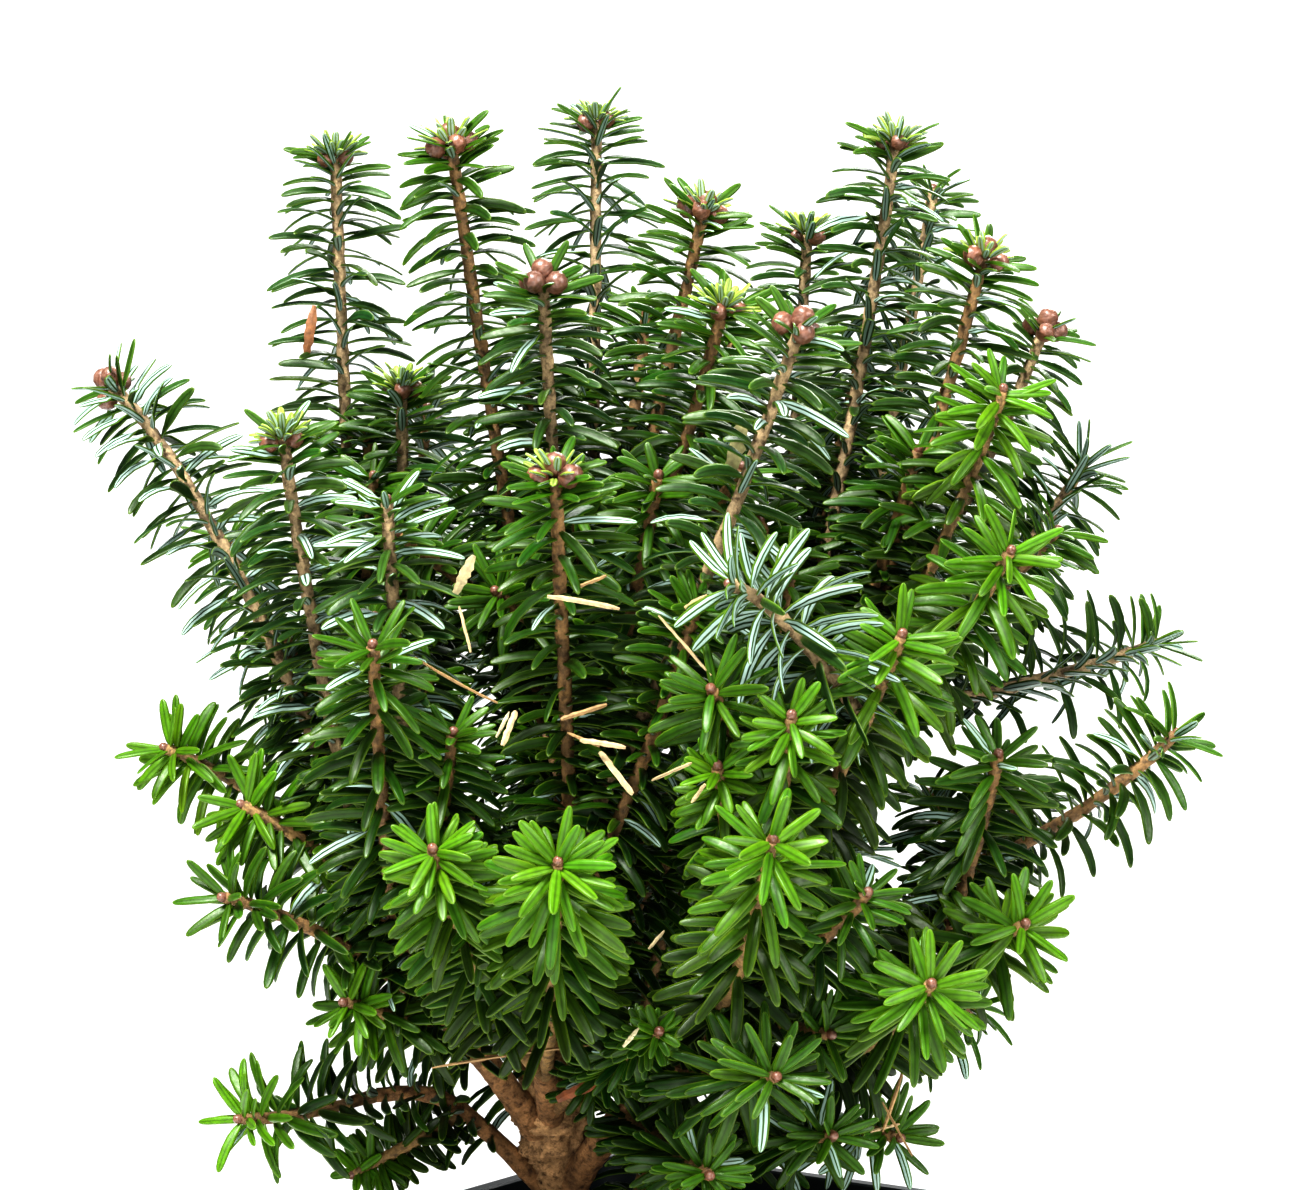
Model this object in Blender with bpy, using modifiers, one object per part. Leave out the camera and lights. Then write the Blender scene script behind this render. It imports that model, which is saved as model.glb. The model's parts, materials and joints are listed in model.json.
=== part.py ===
"""A young balsam fir in a square nursery pot.

The pot stands on z = 0 with the origin at the middle of its base, and +Z is up. The trunk rises out of the
soil, left of the middle, and carries eight limbs, and the leader above it carries two more. Each limb
carries needled shoots, and the strongest shoots end in a cluster of resting buds. Shoots and limbs are placed by shares of the crown's width, depth and
height, so the tree follows those three sizes. All lengths are in metres.
"""

import math
from collections import namedtuple

import bmesh
import bpy
from mathutils import Matrix, Vector
from mathutils.bvhtree import BVHTree
from mathutils.geometry import interpolate_bezier

# ---- driving dimensions ---------------------------------------------------------------------------------

POT_WIDTH = 0.150            # across the flats, over the collar
POT_HEIGHT = 0.150
POT_BASE_WIDTH = 0.112       # across the flats, under the base
POT_WALL = 0.0018
POT_CORNER = 0.014           # radius of the upright corners
POT_TURN = math.radians(-35)  # how far the square pot is turned about its own axis
COLLAR_HEIGHT = 0.012        # the stepped-out band round the top
COLLAR_STEP = 0.0025
LIP_PROUD = 0.0025           # the little flange at the very top
DRAIN_DIAMETER = 0.012
DRAIN_RADIUS = 0.036         # from the middle of the base to each drain hole

HEADSPACE = 0.017            # from the rim down to the soil at the wall
SOIL_CROWN = 0.004           # how much the soil rises towards the trunk
SOIL_RIPPLE = 0.0008

CROWN_WIDTH = 0.270
CROWN_DEPTH = 0.250
CROWN_HEIGHT = 0.270         # from the rim to the highest tip
CROWN_SHIFT = -0.011         # the crown's middle, left of the pot's

TRUNK_RADIUS = 0.0046
KNOT_RADIUS = 0.0078         # the swelling where the lowest limbs leave
ROOT_DEPTH = 0.028           # how far the trunk goes into the soil
TWIG_RADIUS = 0.0013
TWIG_TIP_RADIUS = 0.0010
NEEDLE_LENGTH = 0.0165
NEEDLE_ANGLE = math.radians(68)   # from the twig to the needle
RING_SPACING = 0.0098        # between two rings of needles along a shoot
LIMB_STEP = 0.008            # between two rings of a limb's tube
BUD_HEIGHT = 0.0095
BUD_WIDTH = 0.0085

CLEARANCE = 0.0003           # between pieces that touch

# ---- proportions of needles and buds --------------------------------------------------------------------

BASE_NEEDLE_SHARE = 0.62     # the length of a shoot's lowest needles, as a share of NEEDLE_LENGTH
FULL_LENGTH_AT = 0.24        # the share of a shoot from which its needles are full length
SHORT_NEEDLE_SHARE = 0.86    # every third needle is this much shorter
TIP_START = 0.8              # the share of a shoot from which needles lean forwards
TIP_LEAN = math.radians(14)
RING_TURN = math.radians(18) # neighbouring rings turn this much either way
SHORTENING = 0.82            # one step of shortening a needle that meets another piece
SETTLING_ROUNDS = 60
BUD_CORE_SHARE = 0.55        # the cluster's core, as a share of BUD_WIDTH
BUD_SPREAD = 0.8             # how far the side buds lean outwards
MIDDLE_BUD_SHARE = 0.62      # each bud's length, as a share of BUD_HEIGHT
SIDE_BUD_SHARE = 0.46
BUD_TAPER = 0.8

# ---- colours --------------------------------------------------------------------------------------------

POT_BLACK = (0.010, 0.014, 0.016)
SOIL_BROWN = (0.045, 0.030, 0.018)
BARK_BROWN = (0.185, 0.095, 0.048)
BUD_RED = (0.200, 0.062, 0.048)
NEEDLE_TONES = {
    "dark": (0.012, 0.060, 0.022),
    "blue": (0.030, 0.100, 0.060),
    "bright": (0.085, 0.210, 0.022),
}

# ---- the tree's plan ------------------------------------------------------------------------------------
# A point of the crown is (across, depth, height): across runs from -1 at the left to 1 at the right, depth
# from -1 at the front to 1 at the back, and height from 0 at the rim to 1 at the highest tip.

Limb = namedtuple("Limb", "name parent at points start_radius end_radius")
Shoot = namedtuple("Shoot", "limb at tip bow tone budded")

TRUNK_POINTS = [(-0.13, 0.00, 0.00), (-0.16, -0.03, 0.10), (-0.165, -0.04, 0.155)]

LIMBS = [
    Limb("leader", "trunk", 1.00,
         [(-0.16, -0.04, 0.24), (-0.15, -0.02, 0.32), (-0.11, 0.02, 0.42), (-0.08, 0.04, 0.50)], 3.6, 2.2),
    Limb("left_limb", "trunk", 0.74,
         [(-0.25, -0.13, 0.15), (-0.34, -0.26, 0.22), (-0.43, -0.30, 0.30), (-0.50, -0.26, 0.38)], 3.2, 2.0),
    Limb("left_back_limb", "trunk", 0.86,
         [(-0.28, 0.10, 0.20), (-0.42, 0.20, 0.31), (-0.52, 0.28, 0.45)], 2.8, 1.8),
    Limb("left_low_limb", "trunk", 0.58,
         [(-0.33, -0.06, 0.12), (-0.46, -0.08, 0.13)], 2.2, 1.7),
    Limb("front_limb", "trunk", 0.80,
         [(-0.17, -0.25, 0.18), (-0.15, -0.42, 0.27), (-0.12, -0.48, 0.40)], 2.8, 1.8),
    Limb("right_limb", "trunk", 0.64,
         [(-0.01, -0.20, 0.14), (0.07, -0.32, 0.19), (0.15, -0.44, 0.25), (0.20, -0.44, 0.34),
          (0.22, -0.42, 0.42)], 3.4, 2.0),
    Limb("right_high_limb", "leader", 0.22,
         [(0.02, 0.03, 0.32), (0.18, 0.02, 0.38), (0.33, 0.00, 0.45)], 2.8, 1.8),
    Limb("low_stem", "trunk", 0.47,
         [(0.04, -0.05, 0.05), (0.17, -0.08, 0.10), (0.34, -0.08, 0.18), (0.50, -0.08, 0.27),
          (0.58, -0.06, 0.33)], 3.2, 2.0),
    Limb("right_back_limb", "leader", 0.42,
         [(0.02, 0.26, 0.33), (0.18, 0.42, 0.39), (0.34, 0.48, 0.46)], 2.6, 1.8),
    Limb("back_low_limb", "trunk", 0.70,
         [(-0.13, 0.22, 0.14), (-0.10, 0.42, 0.20), (-0.08, 0.54, 0.29)], 2.6, 1.8),
]

SHOOTS = [
    Shoot("leader", 0.56, (-0.33, -0.04, 0.94), 0.05, "dark", True),
    Shoot("leader", 0.88, (-0.09, 0.46, 0.98), 0.10, "blue", False),
    Shoot("leader", 1.00, (0.10, 0.02, 0.885), 0.00, "dark", True),
    Shoot("leader", 0.72, (-0.17, -0.22, 0.82), 0.10, "blue", True),
    Shoot("left_limb", 1.00, (-0.91, -0.04, 0.735), -0.12, "blue", True),
    Shoot("left_limb", 0.90, (-0.59, -0.34, 0.69), 0.08, "blue", False),
    Shoot("left_limb", 0.60, (-0.41, -0.50, 0.64), 0.12, "blue", False),
    Shoot("left_limb", 0.72, (-0.42, -0.68, 0.53), 0.14, "dark", False),
    Shoot("left_limb", 0.80, (-0.66, -0.32, 0.39), -0.06, "bright", False),
    Shoot("left_limb", 0.48, (-0.68, -0.42, 0.32), -0.08, "dark", False),
    Shoot("left_back_limb", 1.00, (-0.56, 0.34, 0.945), 0.00, "blue", False),
    Shoot("left_back_limb", 0.62, (-0.43, 0.16, 0.735), 0.10, "blue", False),
    Shoot("left_back_limb", 0.50, (-0.84, 0.10, 0.42), -0.05, "bright", False),
    Shoot("left_back_limb", 0.88, (-0.78, 0.56, 0.60), 0.10, "dark", False),
    Shoot("left_back_limb", 0.76, (-0.42, 0.74, 0.72), 0.12, "dark", False),
    Shoot("left_low_limb", 1.00, (-0.68, -0.20, 0.12), 0.05, "dark", False),
    Shoot("front_limb", 1.00, (-0.14, -0.60, 0.66), 0.04, "dark", True),
    Shoot("front_limb", 0.24, (-0.13, -0.90, 0.375), 0.06, "bright", False),
    Shoot("front_limb", 0.26, (-0.32, -0.82, 0.38), 0.10, "bright", False),
    Shoot("front_limb", 0.86, (0.24, -0.56, 0.775), 0.08, "blue", True),
    Shoot("right_limb", 0.52, (0.19, -0.86, 0.39), 0.12, "bright", False),
    Shoot("right_limb", 0.96, (0.10, -0.78, 0.50), 0.04, "dark", False),
    Shoot("right_limb", 0.84, (0.39, -0.74, 0.54), 0.10, "bright", False),
    Shoot("right_limb", 0.38, (0.20, -0.72, 0.20), 0.02, "dark", False),
    Shoot("right_high_limb", 0.76, (0.44, 0.18, 0.95), 0.12, "blue", False),
    Shoot("right_high_limb", 1.00, (0.58, 0.00, 0.845), 0.06, "dark", True),
    Shoot("right_high_limb", 0.94, (0.59, -0.24, 0.73), 0.14, "bright", False),
    Shoot("right_high_limb", 0.82, (0.58, -0.48, 0.60), 0.14, "bright", False),
    Shoot("right_high_limb", 0.98, (0.91, 0.20, 0.51), 0.03, "blue", False),
    Shoot("low_stem", 1.00, (0.90, -0.10, 0.44), 0.08, "dark", False),
    Shoot("low_stem", 0.74, (0.61, -0.44, 0.30), 0.04, "bright", False),
    Shoot("low_stem", 0.56, (0.44, -0.70, 0.27), 0.06, "bright", False),
    Shoot("low_stem", 0.40, (0.42, -0.26, 0.11), -0.04, "dark", False),
    Shoot("right_back_limb", 0.80, (0.30, 0.52, 0.88), 0.12, "blue", False),
    Shoot("right_back_limb", 1.00, (0.72, 0.34, 0.79), 0.14, "blue", True),
    Shoot("right_back_limb", 0.92, (0.56, 0.76, 0.60), 0.08, "dark", False),
    Shoot("right_back_limb", 0.52, (0.12, 0.86, 0.66), 0.12, "dark", False),
    Shoot("back_low_limb", 1.00, (-0.12, 0.90, 0.40), 0.06, "dark", False),
    Shoot("back_low_limb", 0.62, (0.22, 0.84, 0.20), 0.02, "dark", False),
]

# ---- helpers --------------------------------------------------------------------------------------------


def crown_point(point):
    """The place of a crown point, in metres."""
    across, depth, height = point
    return Vector((CROWN_SHIFT + across * CROWN_WIDTH / 2, depth * CROWN_DEPTH / 2,
                   POT_HEIGHT + height * CROWN_HEIGHT))


def make_collection(name):
    """A new collection in the scene."""
    collection = bpy.data.collections.new(name)
    bpy.context.scene.collection.children.link(collection)
    return collection


def make_material(name, colour, roughness):
    """A plain Principled material for a natural or plastic surface."""
    material = bpy.data.materials.new(name)
    material.use_nodes = True
    shader = material.node_tree.nodes["Principled BSDF"]
    shader.inputs["Base Color"].default_value = (*colour, 1.0)
    shader.inputs["Roughness"].default_value = roughness
    shader.inputs["Metallic"].default_value = 0.0
    return material


def add_object(name, mesh, collection, material):
    """A new object in a collection, with its own material."""
    obj = bpy.data.objects.new(name, mesh)
    collection.objects.link(obj)
    if material is not None:
        mesh.materials.clear()
        mesh.materials.append(material)
    return obj


def hide_cutter(obj):
    """Marks an object as a cutting tool, which is not part of the tree."""
    obj.hide_render = True
    obj.display_type = 'WIRE'


def cut_away(obj, cutter):
    """Takes the cutter's shape out of an object."""
    modifier = obj.modifiers.new("cut_" + cutter.name, 'BOOLEAN')
    modifier.operation = 'DIFFERENCE'
    modifier.solver = 'EXACT'
    modifier.object = cutter


def evaluated_mesh(obj):
    """An object's mesh with its modifiers applied."""
    depsgraph = bpy.context.evaluated_depsgraph_get()
    return bpy.data.meshes.new_from_object(obj.evaluated_get(depsgraph))


def surface_tree(mesh, matrix):
    """A search tree over a mesh, in world coordinates."""
    points = [matrix @ vertex.co for vertex in mesh.vertices]
    return BVHTree.FromPolygons(points, [tuple(face.vertices) for face in mesh.polygons])


def smooth_route(points, step):
    """Evenly spaced points along a smooth curve through the given points."""
    samples = []
    last = len(points) - 1
    for index in range(last):
        before = points[max(index - 1, 0)]
        after = points[min(index + 2, last)]
        start, end = points[index], points[index + 1]
        handle_out = start + (end - before) / 6
        handle_in = end - (after - start) / 6
        span = interpolate_bezier(start, handle_out, handle_in, end, 24)
        samples += span if not samples else span[1:]
    return even_points(samples, step)


def even_points(samples, step):
    """Resamples a fine polyline at nearly equal steps, keeping both its ends."""
    lengths = [0.0]
    for first, second in zip(samples, samples[1:]):
        lengths.append(lengths[-1] + (second - first).length)
    count = max(2, round(lengths[-1] / step))
    route = []
    at = 0
    for index in range(count + 1):
        target = lengths[-1] * index / count
        while at < len(lengths) - 2 and lengths[at + 1] < target:
            at += 1
        span = lengths[at + 1] - lengths[at]
        route.append(samples[at].lerp(samples[at + 1], (target - lengths[at]) / span))
    return route


def point_along(route, share):
    """The point at a share of a route's length, counted in its even steps."""
    place = share * (len(route) - 1)
    first = min(int(place), len(route) - 2)
    return route[first].lerp(route[first + 1], place - first)


def tube(name, route, radii):
    """A closed, tapering six-sided tube along a route, as a mesh."""
    curve = bpy.data.curves.new(name + "_line", 'CURVE')
    curve.dimensions = '3D'
    curve.bevel_depth = 1.0
    curve.bevel_resolution = 1
    curve.use_fill_caps = True
    spline = curve.splines.new('POLY')
    spline.points.add(len(route) - 1)
    for point, place, radius in zip(spline.points, route, radii):
        point.co = (*place, 1.0)
        point.radius = radius
    line = bpy.data.objects.new(name + "_line", curve)
    bpy.context.scene.collection.objects.link(line)
    mesh = evaluated_mesh(line)
    bpy.data.objects.remove(line)
    body = bmesh.new()
    body.from_mesh(mesh)
    bmesh.ops.remove_doubles(body, verts=body.verts, dist=0.00001)
    bmesh.ops.recalc_face_normals(body, faces=body.faces)
    body.to_mesh(mesh)
    body.free()
    mesh.name = name
    return mesh


def clear_route(route, radius, step, obstacle, stand_off=0.0):
    """The stretch of a route where a tube stands clear of what it grows from, in even steps."""
    fine = even_points(route, CLEARANCE)
    start = 0
    for index, point in enumerate(fine[:-1]):
        if obstacle.find_nearest(point)[3] < stand_off or inside(obstacle, point):
            start = index + 1
    shown = even_points(fine[start:], step)
    while start < len(fine) - 2 and not ring_is_clear(shown, radius, obstacle):
        start += 1
        shown = even_points(fine[start:], step)
    return shown


def ring_is_clear(route, radius, obstacle):
    """Whether a tube's first ring keeps its distance from what it grows from."""
    along = (route[1] - route[0]).normalized()
    side = along.orthogonal().normalized()
    other = along.cross(side)
    ring = [route[0] + radius * (math.cos(turn) * side + math.sin(turn) * other)
            for turn in (step * math.tau / 12 for step in range(12))]
    return all(obstacle.find_nearest(point)[3] > CLEARANCE and not inside(obstacle, point) for point in ring)


def inside(obstacle, point):
    """Whether a point lies inside the closed surface of a search tree."""
    place, normal, _, _ = obstacle.find_nearest(point)
    return (point - place).dot(normal) < 0


# ---- the pot and the soil -------------------------------------------------------------------------------


def square_shell(bottom_width, top_width, height):
    """An open-topped square tub with round upright corners, as one thin surface."""
    body = bmesh.new()
    bmesh.ops.create_cube(body, size=1.0)
    for vertex in body.verts:
        top = vertex.co.z > 0
        width = top_width if top else bottom_width
        vertex.co.x *= width
        vertex.co.y *= width
        vertex.co.z = height if top else 0.0
    uprights = [edge for edge in body.edges
                if abs(edge.verts[0].co.z - edge.verts[1].co.z) > height / 2]
    bmesh.ops.bevel(body, geom=uprights, offset=POT_CORNER, offset_type='OFFSET', segments=4,
                    profile=0.5, affect='EDGES')
    body.normal_update()
    return body


def top_face(body):
    """The highest flat face of a body."""
    return max(body.faces, key=lambda face: face.calc_center_median().z)


def widen_rim(body, grow, rise):
    """Carries the open top edge outwards and up by one step."""
    rim = [edge for edge in body.edges if edge.is_boundary]
    made = bmesh.ops.extrude_edge_only(body, edges=rim)["geom"]
    for vertex in (item for item in made if isinstance(item, bmesh.types.BMVert)):
        reach = max(abs(vertex.co.x), abs(vertex.co.y))
        scale = 1 + grow / reach
        vertex.co.x *= scale
        vertex.co.y *= scale
        vertex.co.z += rise


def wall_width_at(height):
    """The pot wall's outer width at a height below the collar."""
    share = height / (POT_HEIGHT - COLLAR_HEIGHT)
    return POT_BASE_WIDTH + share * (neck_width() - POT_BASE_WIDTH)


def neck_width():
    """The pot's outer width just under the collar."""
    return POT_WIDTH - 2 * (COLLAR_STEP + LIP_PROUD)


def make_pot(collection, cutters, material):
    """The tub with its stepped collar, lip and drain holes."""
    body = square_shell(POT_BASE_WIDTH, neck_width(), POT_HEIGHT - COLLAR_HEIGHT)
    bmesh.ops.delete(body, geom=[top_face(body)], context='FACES_ONLY')
    step_rise = COLLAR_STEP * 0.4
    widen_rim(body, COLLAR_STEP, step_rise)
    widen_rim(body, 0.0, COLLAR_HEIGHT - step_rise - POT_WALL)
    widen_rim(body, LIP_PROUD, 0.0)
    bmesh.ops.recalc_face_normals(body, faces=body.faces)
    base = min(body.faces, key=lambda face: face.calc_center_median().z)
    if base.normal.z > 0:
        bmesh.ops.reverse_faces(body, faces=body.faces)
    mesh = bpy.data.meshes.new("pot")
    body.to_mesh(mesh)
    body.free()
    pot = add_object("pot", mesh, collection, material)
    pot.rotation_euler.z = POT_TURN
    shell = pot.modifiers.new("wall", 'SOLIDIFY')
    shell.thickness = POT_WALL
    shell.offset = -1.0
    shell.use_even_offset = True
    for turn in (step * math.tau / 4 for step in range(4)):
        drain = bmesh.new()
        bmesh.ops.create_cone(drain, cap_ends=True, segments=16, radius1=DRAIN_DIAMETER / 2,
                              radius2=DRAIN_DIAMETER / 2, depth=POT_WALL * 6)
        hole_mesh = bpy.data.meshes.new("drain_cutter")
        drain.to_mesh(hole_mesh)
        drain.free()
        cutter = add_object("drain_cutter", hole_mesh, cutters, None)
        cutter.location = (DRAIN_RADIUS * math.cos(turn + POT_TURN),
                           DRAIN_RADIUS * math.sin(turn + POT_TURN), 0.0)
        hide_cutter(cutter)
        cut_away(pot, cutter)
    return pot


def soil_top():
    """The soil's level at the pot's wall."""
    return POT_HEIGHT - HEADSPACE


def make_soil(collection, material, root_cutter):
    """The block of soil: it fills the pot to the headspace and rises a little round the trunk."""
    gap = 2 * (POT_WALL + CLEARANCE)
    bottom = POT_WALL + CLEARANCE
    body = square_shell(wall_width_at(bottom) - gap, wall_width_at(soil_top()) - gap - CLEARANCE,
                        soil_top() - bottom)
    for vertex in body.verts:
        vertex.co.z += bottom
    surface = top_face(body)
    for share in (0.80, 0.70, 0.55):
        surface = bmesh.ops.extrude_discrete_faces(body, faces=[surface])["faces"][0]
        bmesh.ops.scale(body, verts=surface.verts, vec=(share, share, 1.0))
        for vertex in surface.verts:
            vertex.co.z += SOIL_CROWN / 3
            vertex.co.z += SOIL_RIPPLE * math.sin(vertex.co.x * 210) * math.cos(vertex.co.y * 170)
    bmesh.ops.poke(body, faces=[surface])
    mesh = bpy.data.meshes.new("soil")
    body.to_mesh(mesh)
    body.free()
    soil = add_object("soil", mesh, collection, material)
    soil.rotation_euler.z = POT_TURN
    cut_away(soil, root_cutter)
    return soil


# ---- the wood -------------------------------------------------------------------------------------------


def trunk_route():
    """The trunk's line, from its foot in the soil to where the leader starts."""
    above = [crown_point(point) for point in TRUNK_POINTS]
    foot = Vector((above[0].x + 0.005, above[0].y, soil_top() - ROOT_DEPTH))
    return smooth_route([foot] + above, 0.006)


def trunk_radii(route):
    """The trunk's radius at each point: nearly even, swelling into the knot."""
    knot = crown_point(TRUNK_POINTS[1])
    spread = 0.012
    radii = []
    for place in route:
        nearness = math.exp(-((place.z - knot.z) / spread) ** 2)
        radii.append(TRUNK_RADIUS + (KNOT_RADIUS - TRUNK_RADIUS) * nearness)
    return radii


def make_trunk(collection, cutters, material):
    """The trunk, and a cutter of its foot that makes its hole in the soil."""
    route = trunk_route()
    radii = trunk_radii(route)
    trunk = add_object("trunk", tube("trunk", route, radii), collection, material)
    deeper = [route[0] - Vector((0, 0, CLEARANCE))] + route[1:]
    wider = [radius + 2 * CLEARANCE for radius in radii]
    cutter = add_object("root_cutter", tube("root_cutter", deeper, wider), cutters, None)
    hide_cutter(cutter)
    return trunk, route, cutter


def make_limbs(collection, material, trunk, route):
    """The limbs: each starts at the surface of what it grows from and follows its own points."""
    lines = {"trunk": route}
    trees = {"trunk": surface_tree(trunk.data, trunk.matrix_world)}
    for limb in LIMBS:
        start = point_along(lines[limb.parent], limb.at)
        line = smooth_route([start] + [crown_point(point) for point in limb.points], 0.002)
        lines[limb.name] = line
        radius = limb.start_radius / 1000
        end_radius = limb.end_radius / 1000
        shown = clear_route(line, radius, LIMB_STEP, trees[limb.parent])
        count = len(shown) - 1
        radii = [radius + (end_radius - radius) * index / count for index in range(count + 1)]
        obj = add_object(limb.name, tube(limb.name, shown, radii), collection, material)
        trees[limb.name] = surface_tree(obj.data, obj.matrix_world)
    return lines, trees


# ---- shoots and buds ------------------------------------------------------------------------------------


def shoot_names():
    """Each shoot's name: its limb's name and its number on that limb."""
    counts = {}
    names = []
    for shoot in SHOOTS:
        counts[shoot.limb] = counts.get(shoot.limb, 0) + 1
        names.append(f"{shoot.limb}_shoot_{counts[shoot.limb]}")
    return names


def shoot_line(shoot, limb_line):
    """A shoot's line: it leaves its limb and bends to its tip, below the chord where bow is positive."""
    start = point_along(limb_line, shoot.at)
    tip = crown_point(shoot.tip)
    chord = tip - start
    sag = Vector((0, 0, -shoot.bow * chord.length))
    return interpolate_bezier(start, start + chord * 0.35 + sag, start + chord * 0.72 + sag, tip, 40)


class Needled:
    """A shoot's twig with a needle drawn out of every face, whose lengths can still be shortened."""

    def __init__(self, name, route):
        count = len(route) - 1
        radii = [TWIG_RADIUS + (TWIG_TIP_RADIUS - TWIG_RADIUS) * index / count for index in range(count + 1)]
        self.name = name
        self.mesh = tube(name, route, radii)
        self.route = route
        self.raise_needles()

    def raise_needles(self):
        """Gives each side face a middle point, which becomes the needle's tip."""
        body = bmesh.new()
        body.from_mesh(self.mesh)
        sides = [face for face in body.faces if len(face.verts) == 4]
        roots = {}
        made = bmesh.ops.poke(body, faces=sides)
        body.verts.index_update()
        for vertex in made["verts"]:
            roots[vertex.index] = self.needle_reach(vertex.co.copy(), vertex.index)
        body.to_mesh(self.mesh)
        body.free()
        self.roots = roots
        self.share = {index: 1.0 for index in roots}
        self.owner = {}
        for face in self.mesh.polygons:
            for index in face.vertices:
                if index in roots:
                    self.owner[face.index] = index

    def needle_reach(self, root, index):
        """A needle's root and its full reach: outwards from the twig and forwards to the tip."""
        nearest = min(range(len(self.route) - 1),
                      key=lambda step: (root - (self.route[step] + self.route[step + 1]) / 2).length)
        start, end = self.route[nearest], self.route[nearest + 1]
        along = (end - start).normalized()
        middle = start + along * (root - start).dot(along)
        outward = (root - middle).normalized()
        place = (nearest + 0.5) / (len(self.route) - 1)
        grown = min(1.0, BASE_NEEDLE_SHARE + place * (1 - BASE_NEEDLE_SHARE) / FULL_LENGTH_AT)
        length = NEEDLE_LENGTH * grown * (1.0 if index % 3 else SHORT_NEEDLE_SHARE)
        near_tip = max(0.0, place - TIP_START) / (1 - TIP_START)
        lean = NEEDLE_ANGLE - TIP_LEAN * near_tip
        turn = RING_TURN if nearest % 2 else -RING_TURN
        outward = (outward * math.cos(turn) + along.cross(outward) * math.sin(turn)).normalized()
        return root, (outward * math.sin(lean) + along * math.cos(lean)) * length

    def place_needles(self):
        """Moves every needle's tip to its present length, and returns the search tree."""
        for index, (root, reach) in self.roots.items():
            self.mesh.vertices[index].co = root + reach * self.share[index]
        points = [vertex.co.copy() for vertex in self.mesh.vertices]
        self.tree = BVHTree.FromPolygons(points, [tuple(face.vertices) for face in self.mesh.polygons])

    def shorten(self, face_indices):
        """Shortens the needles that these faces belong to."""
        needles = {self.owner[index] for index in face_indices if index in self.owner}
        for index in needles:
            self.share[index] *= SHORTENING
        return bool(needles)

    def crossings_with_itself(self):
        """Pairs of its own faces that cross without sharing a corner."""
        faces = self.mesh.polygons
        return [(first, second) for first, second in self.tree.overlap(self.tree)
                if first < second and not set(faces[first].vertices) & set(faces[second].vertices)]


def settle_needles(shoots, obstacles):
    """Shortens needles, a little at a time, until none passes through another piece."""
    for _ in range(SETTLING_ROUNDS):
        for shoot in shoots:
            shoot.place_needles()
        moved = False
        for index, shoot in enumerate(shoots):
            for obstacle in obstacles:
                moved |= shoot.shorten({pair[0] for pair in shoot.tree.overlap(obstacle)})
            own = shoot.crossings_with_itself()
            moved |= shoot.shorten({face for pair in own for face in pair})
            for other in shoots[index + 1:]:
                pairs = shoot.tree.overlap(other.tree)
                moved |= shoot.shorten({pair[0] for pair in pairs})
                moved |= other.shorten({pair[1] for pair in pairs})
        if not moved:
            return


def bud_cluster(name, tip, along, collection, material):
    """A tight group of five resting buds on a shoot's end, from a subdivided cage."""
    body = bmesh.new()
    core = BUD_WIDTH * BUD_CORE_SHARE
    bmesh.ops.create_cube(body, size=core)
    body.faces.ensure_lookup_table()
    buds = [face for face in body.faces if face.normal.z > -0.5]
    for face in buds:
        outward = (face.normal * BUD_SPREAD + Vector((0, 0, 1))).normalized()
        length = BUD_HEIGHT * (MIDDLE_BUD_SHARE if face.normal.z > 0.5 else SIDE_BUD_SHARE)
        lifted = bmesh.ops.extrude_discrete_faces(body, faces=[face])["faces"][0]
        bmesh.ops.translate(body, verts=lifted.verts, vec=outward * length)
        bmesh.ops.scale(body, verts=lifted.verts, vec=(BUD_TAPER,) * 3,
                        space=Matrix.Translation(-lifted.calc_center_median()))
    mesh = bpy.data.meshes.new(name)
    body.to_mesh(mesh)
    body.free()
    cluster = add_object(name, mesh, collection, material)
    cluster.rotation_mode = 'QUATERNION'
    cluster.rotation_quaternion = along.to_track_quat('Z', 'Y')
    cluster.location = tip + along * (core / 2 + CLEARANCE)
    smooth = cluster.modifiers.new("smooth", 'SUBSURF')
    smooth.levels = 1
    smooth.render_levels = 1
    return cluster


# ---- the whole plant ------------------------------------------------------------------------------------


def main():
    """Builds the pot, the soil and the tree."""
    for obj in list(bpy.data.objects):
        bpy.data.objects.remove(obj)
    fir = make_collection("potted_balsam_fir")
    cutters = make_collection("cutters")

    bark = make_material("bark", BARK_BROWN, 0.85)
    trunk, route, root_cutter = make_trunk(fir, cutters, bark)
    pot = make_pot(fir, cutters, make_material("pot_plastic", POT_BLACK, 0.45))
    soil = make_soil(fir, make_material("potting_soil", SOIL_BROWN, 0.95), root_cutter)
    lines, trees = make_limbs(fir, bark, trunk, route)

    bpy.context.view_layer.update()
    obstacles = list(trees.values())
    obstacles += [surface_tree(evaluated_mesh(obj), obj.matrix_world) for obj in (pot, soil)]

    tones = {tone: make_material("needles_" + tone, colour, 0.4) for tone, colour in NEEDLE_TONES.items()}
    bud_material = make_material("buds", BUD_RED, 0.5)
    needled = []
    for shoot, name in zip(SHOOTS, shoot_names()):
        line = shoot_line(shoot, lines[shoot.limb])
        shown = clear_route(line, TWIG_RADIUS, RING_SPACING, trees[shoot.limb], TWIG_RADIUS + 2 * CLEARANCE)
        twig = Needled(name, shown)
        needled.append(twig)
        add_object(name, twig.mesh, fir, tones[shoot.tone])
        if shoot.budded:
            along = (shown[-1] - shown[-2]).normalized()
            cluster = bud_cluster(name + "_buds", shown[-1], along, fir, bud_material)
            bpy.context.view_layer.update()
            obstacles.append(surface_tree(evaluated_mesh(cluster), cluster.matrix_world))
    settle_needles(needled, obstacles)


main()
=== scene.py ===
"""The looks of the potted balsam fir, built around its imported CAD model.

Every shoot gets a bark-covered twig and its own curved, grooved needles; trunk and limbs get rough bark; the
buds get their scales; and the pot, soil and the straw caught in the crown are finished. Metres, +Z up.
"""

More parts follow.
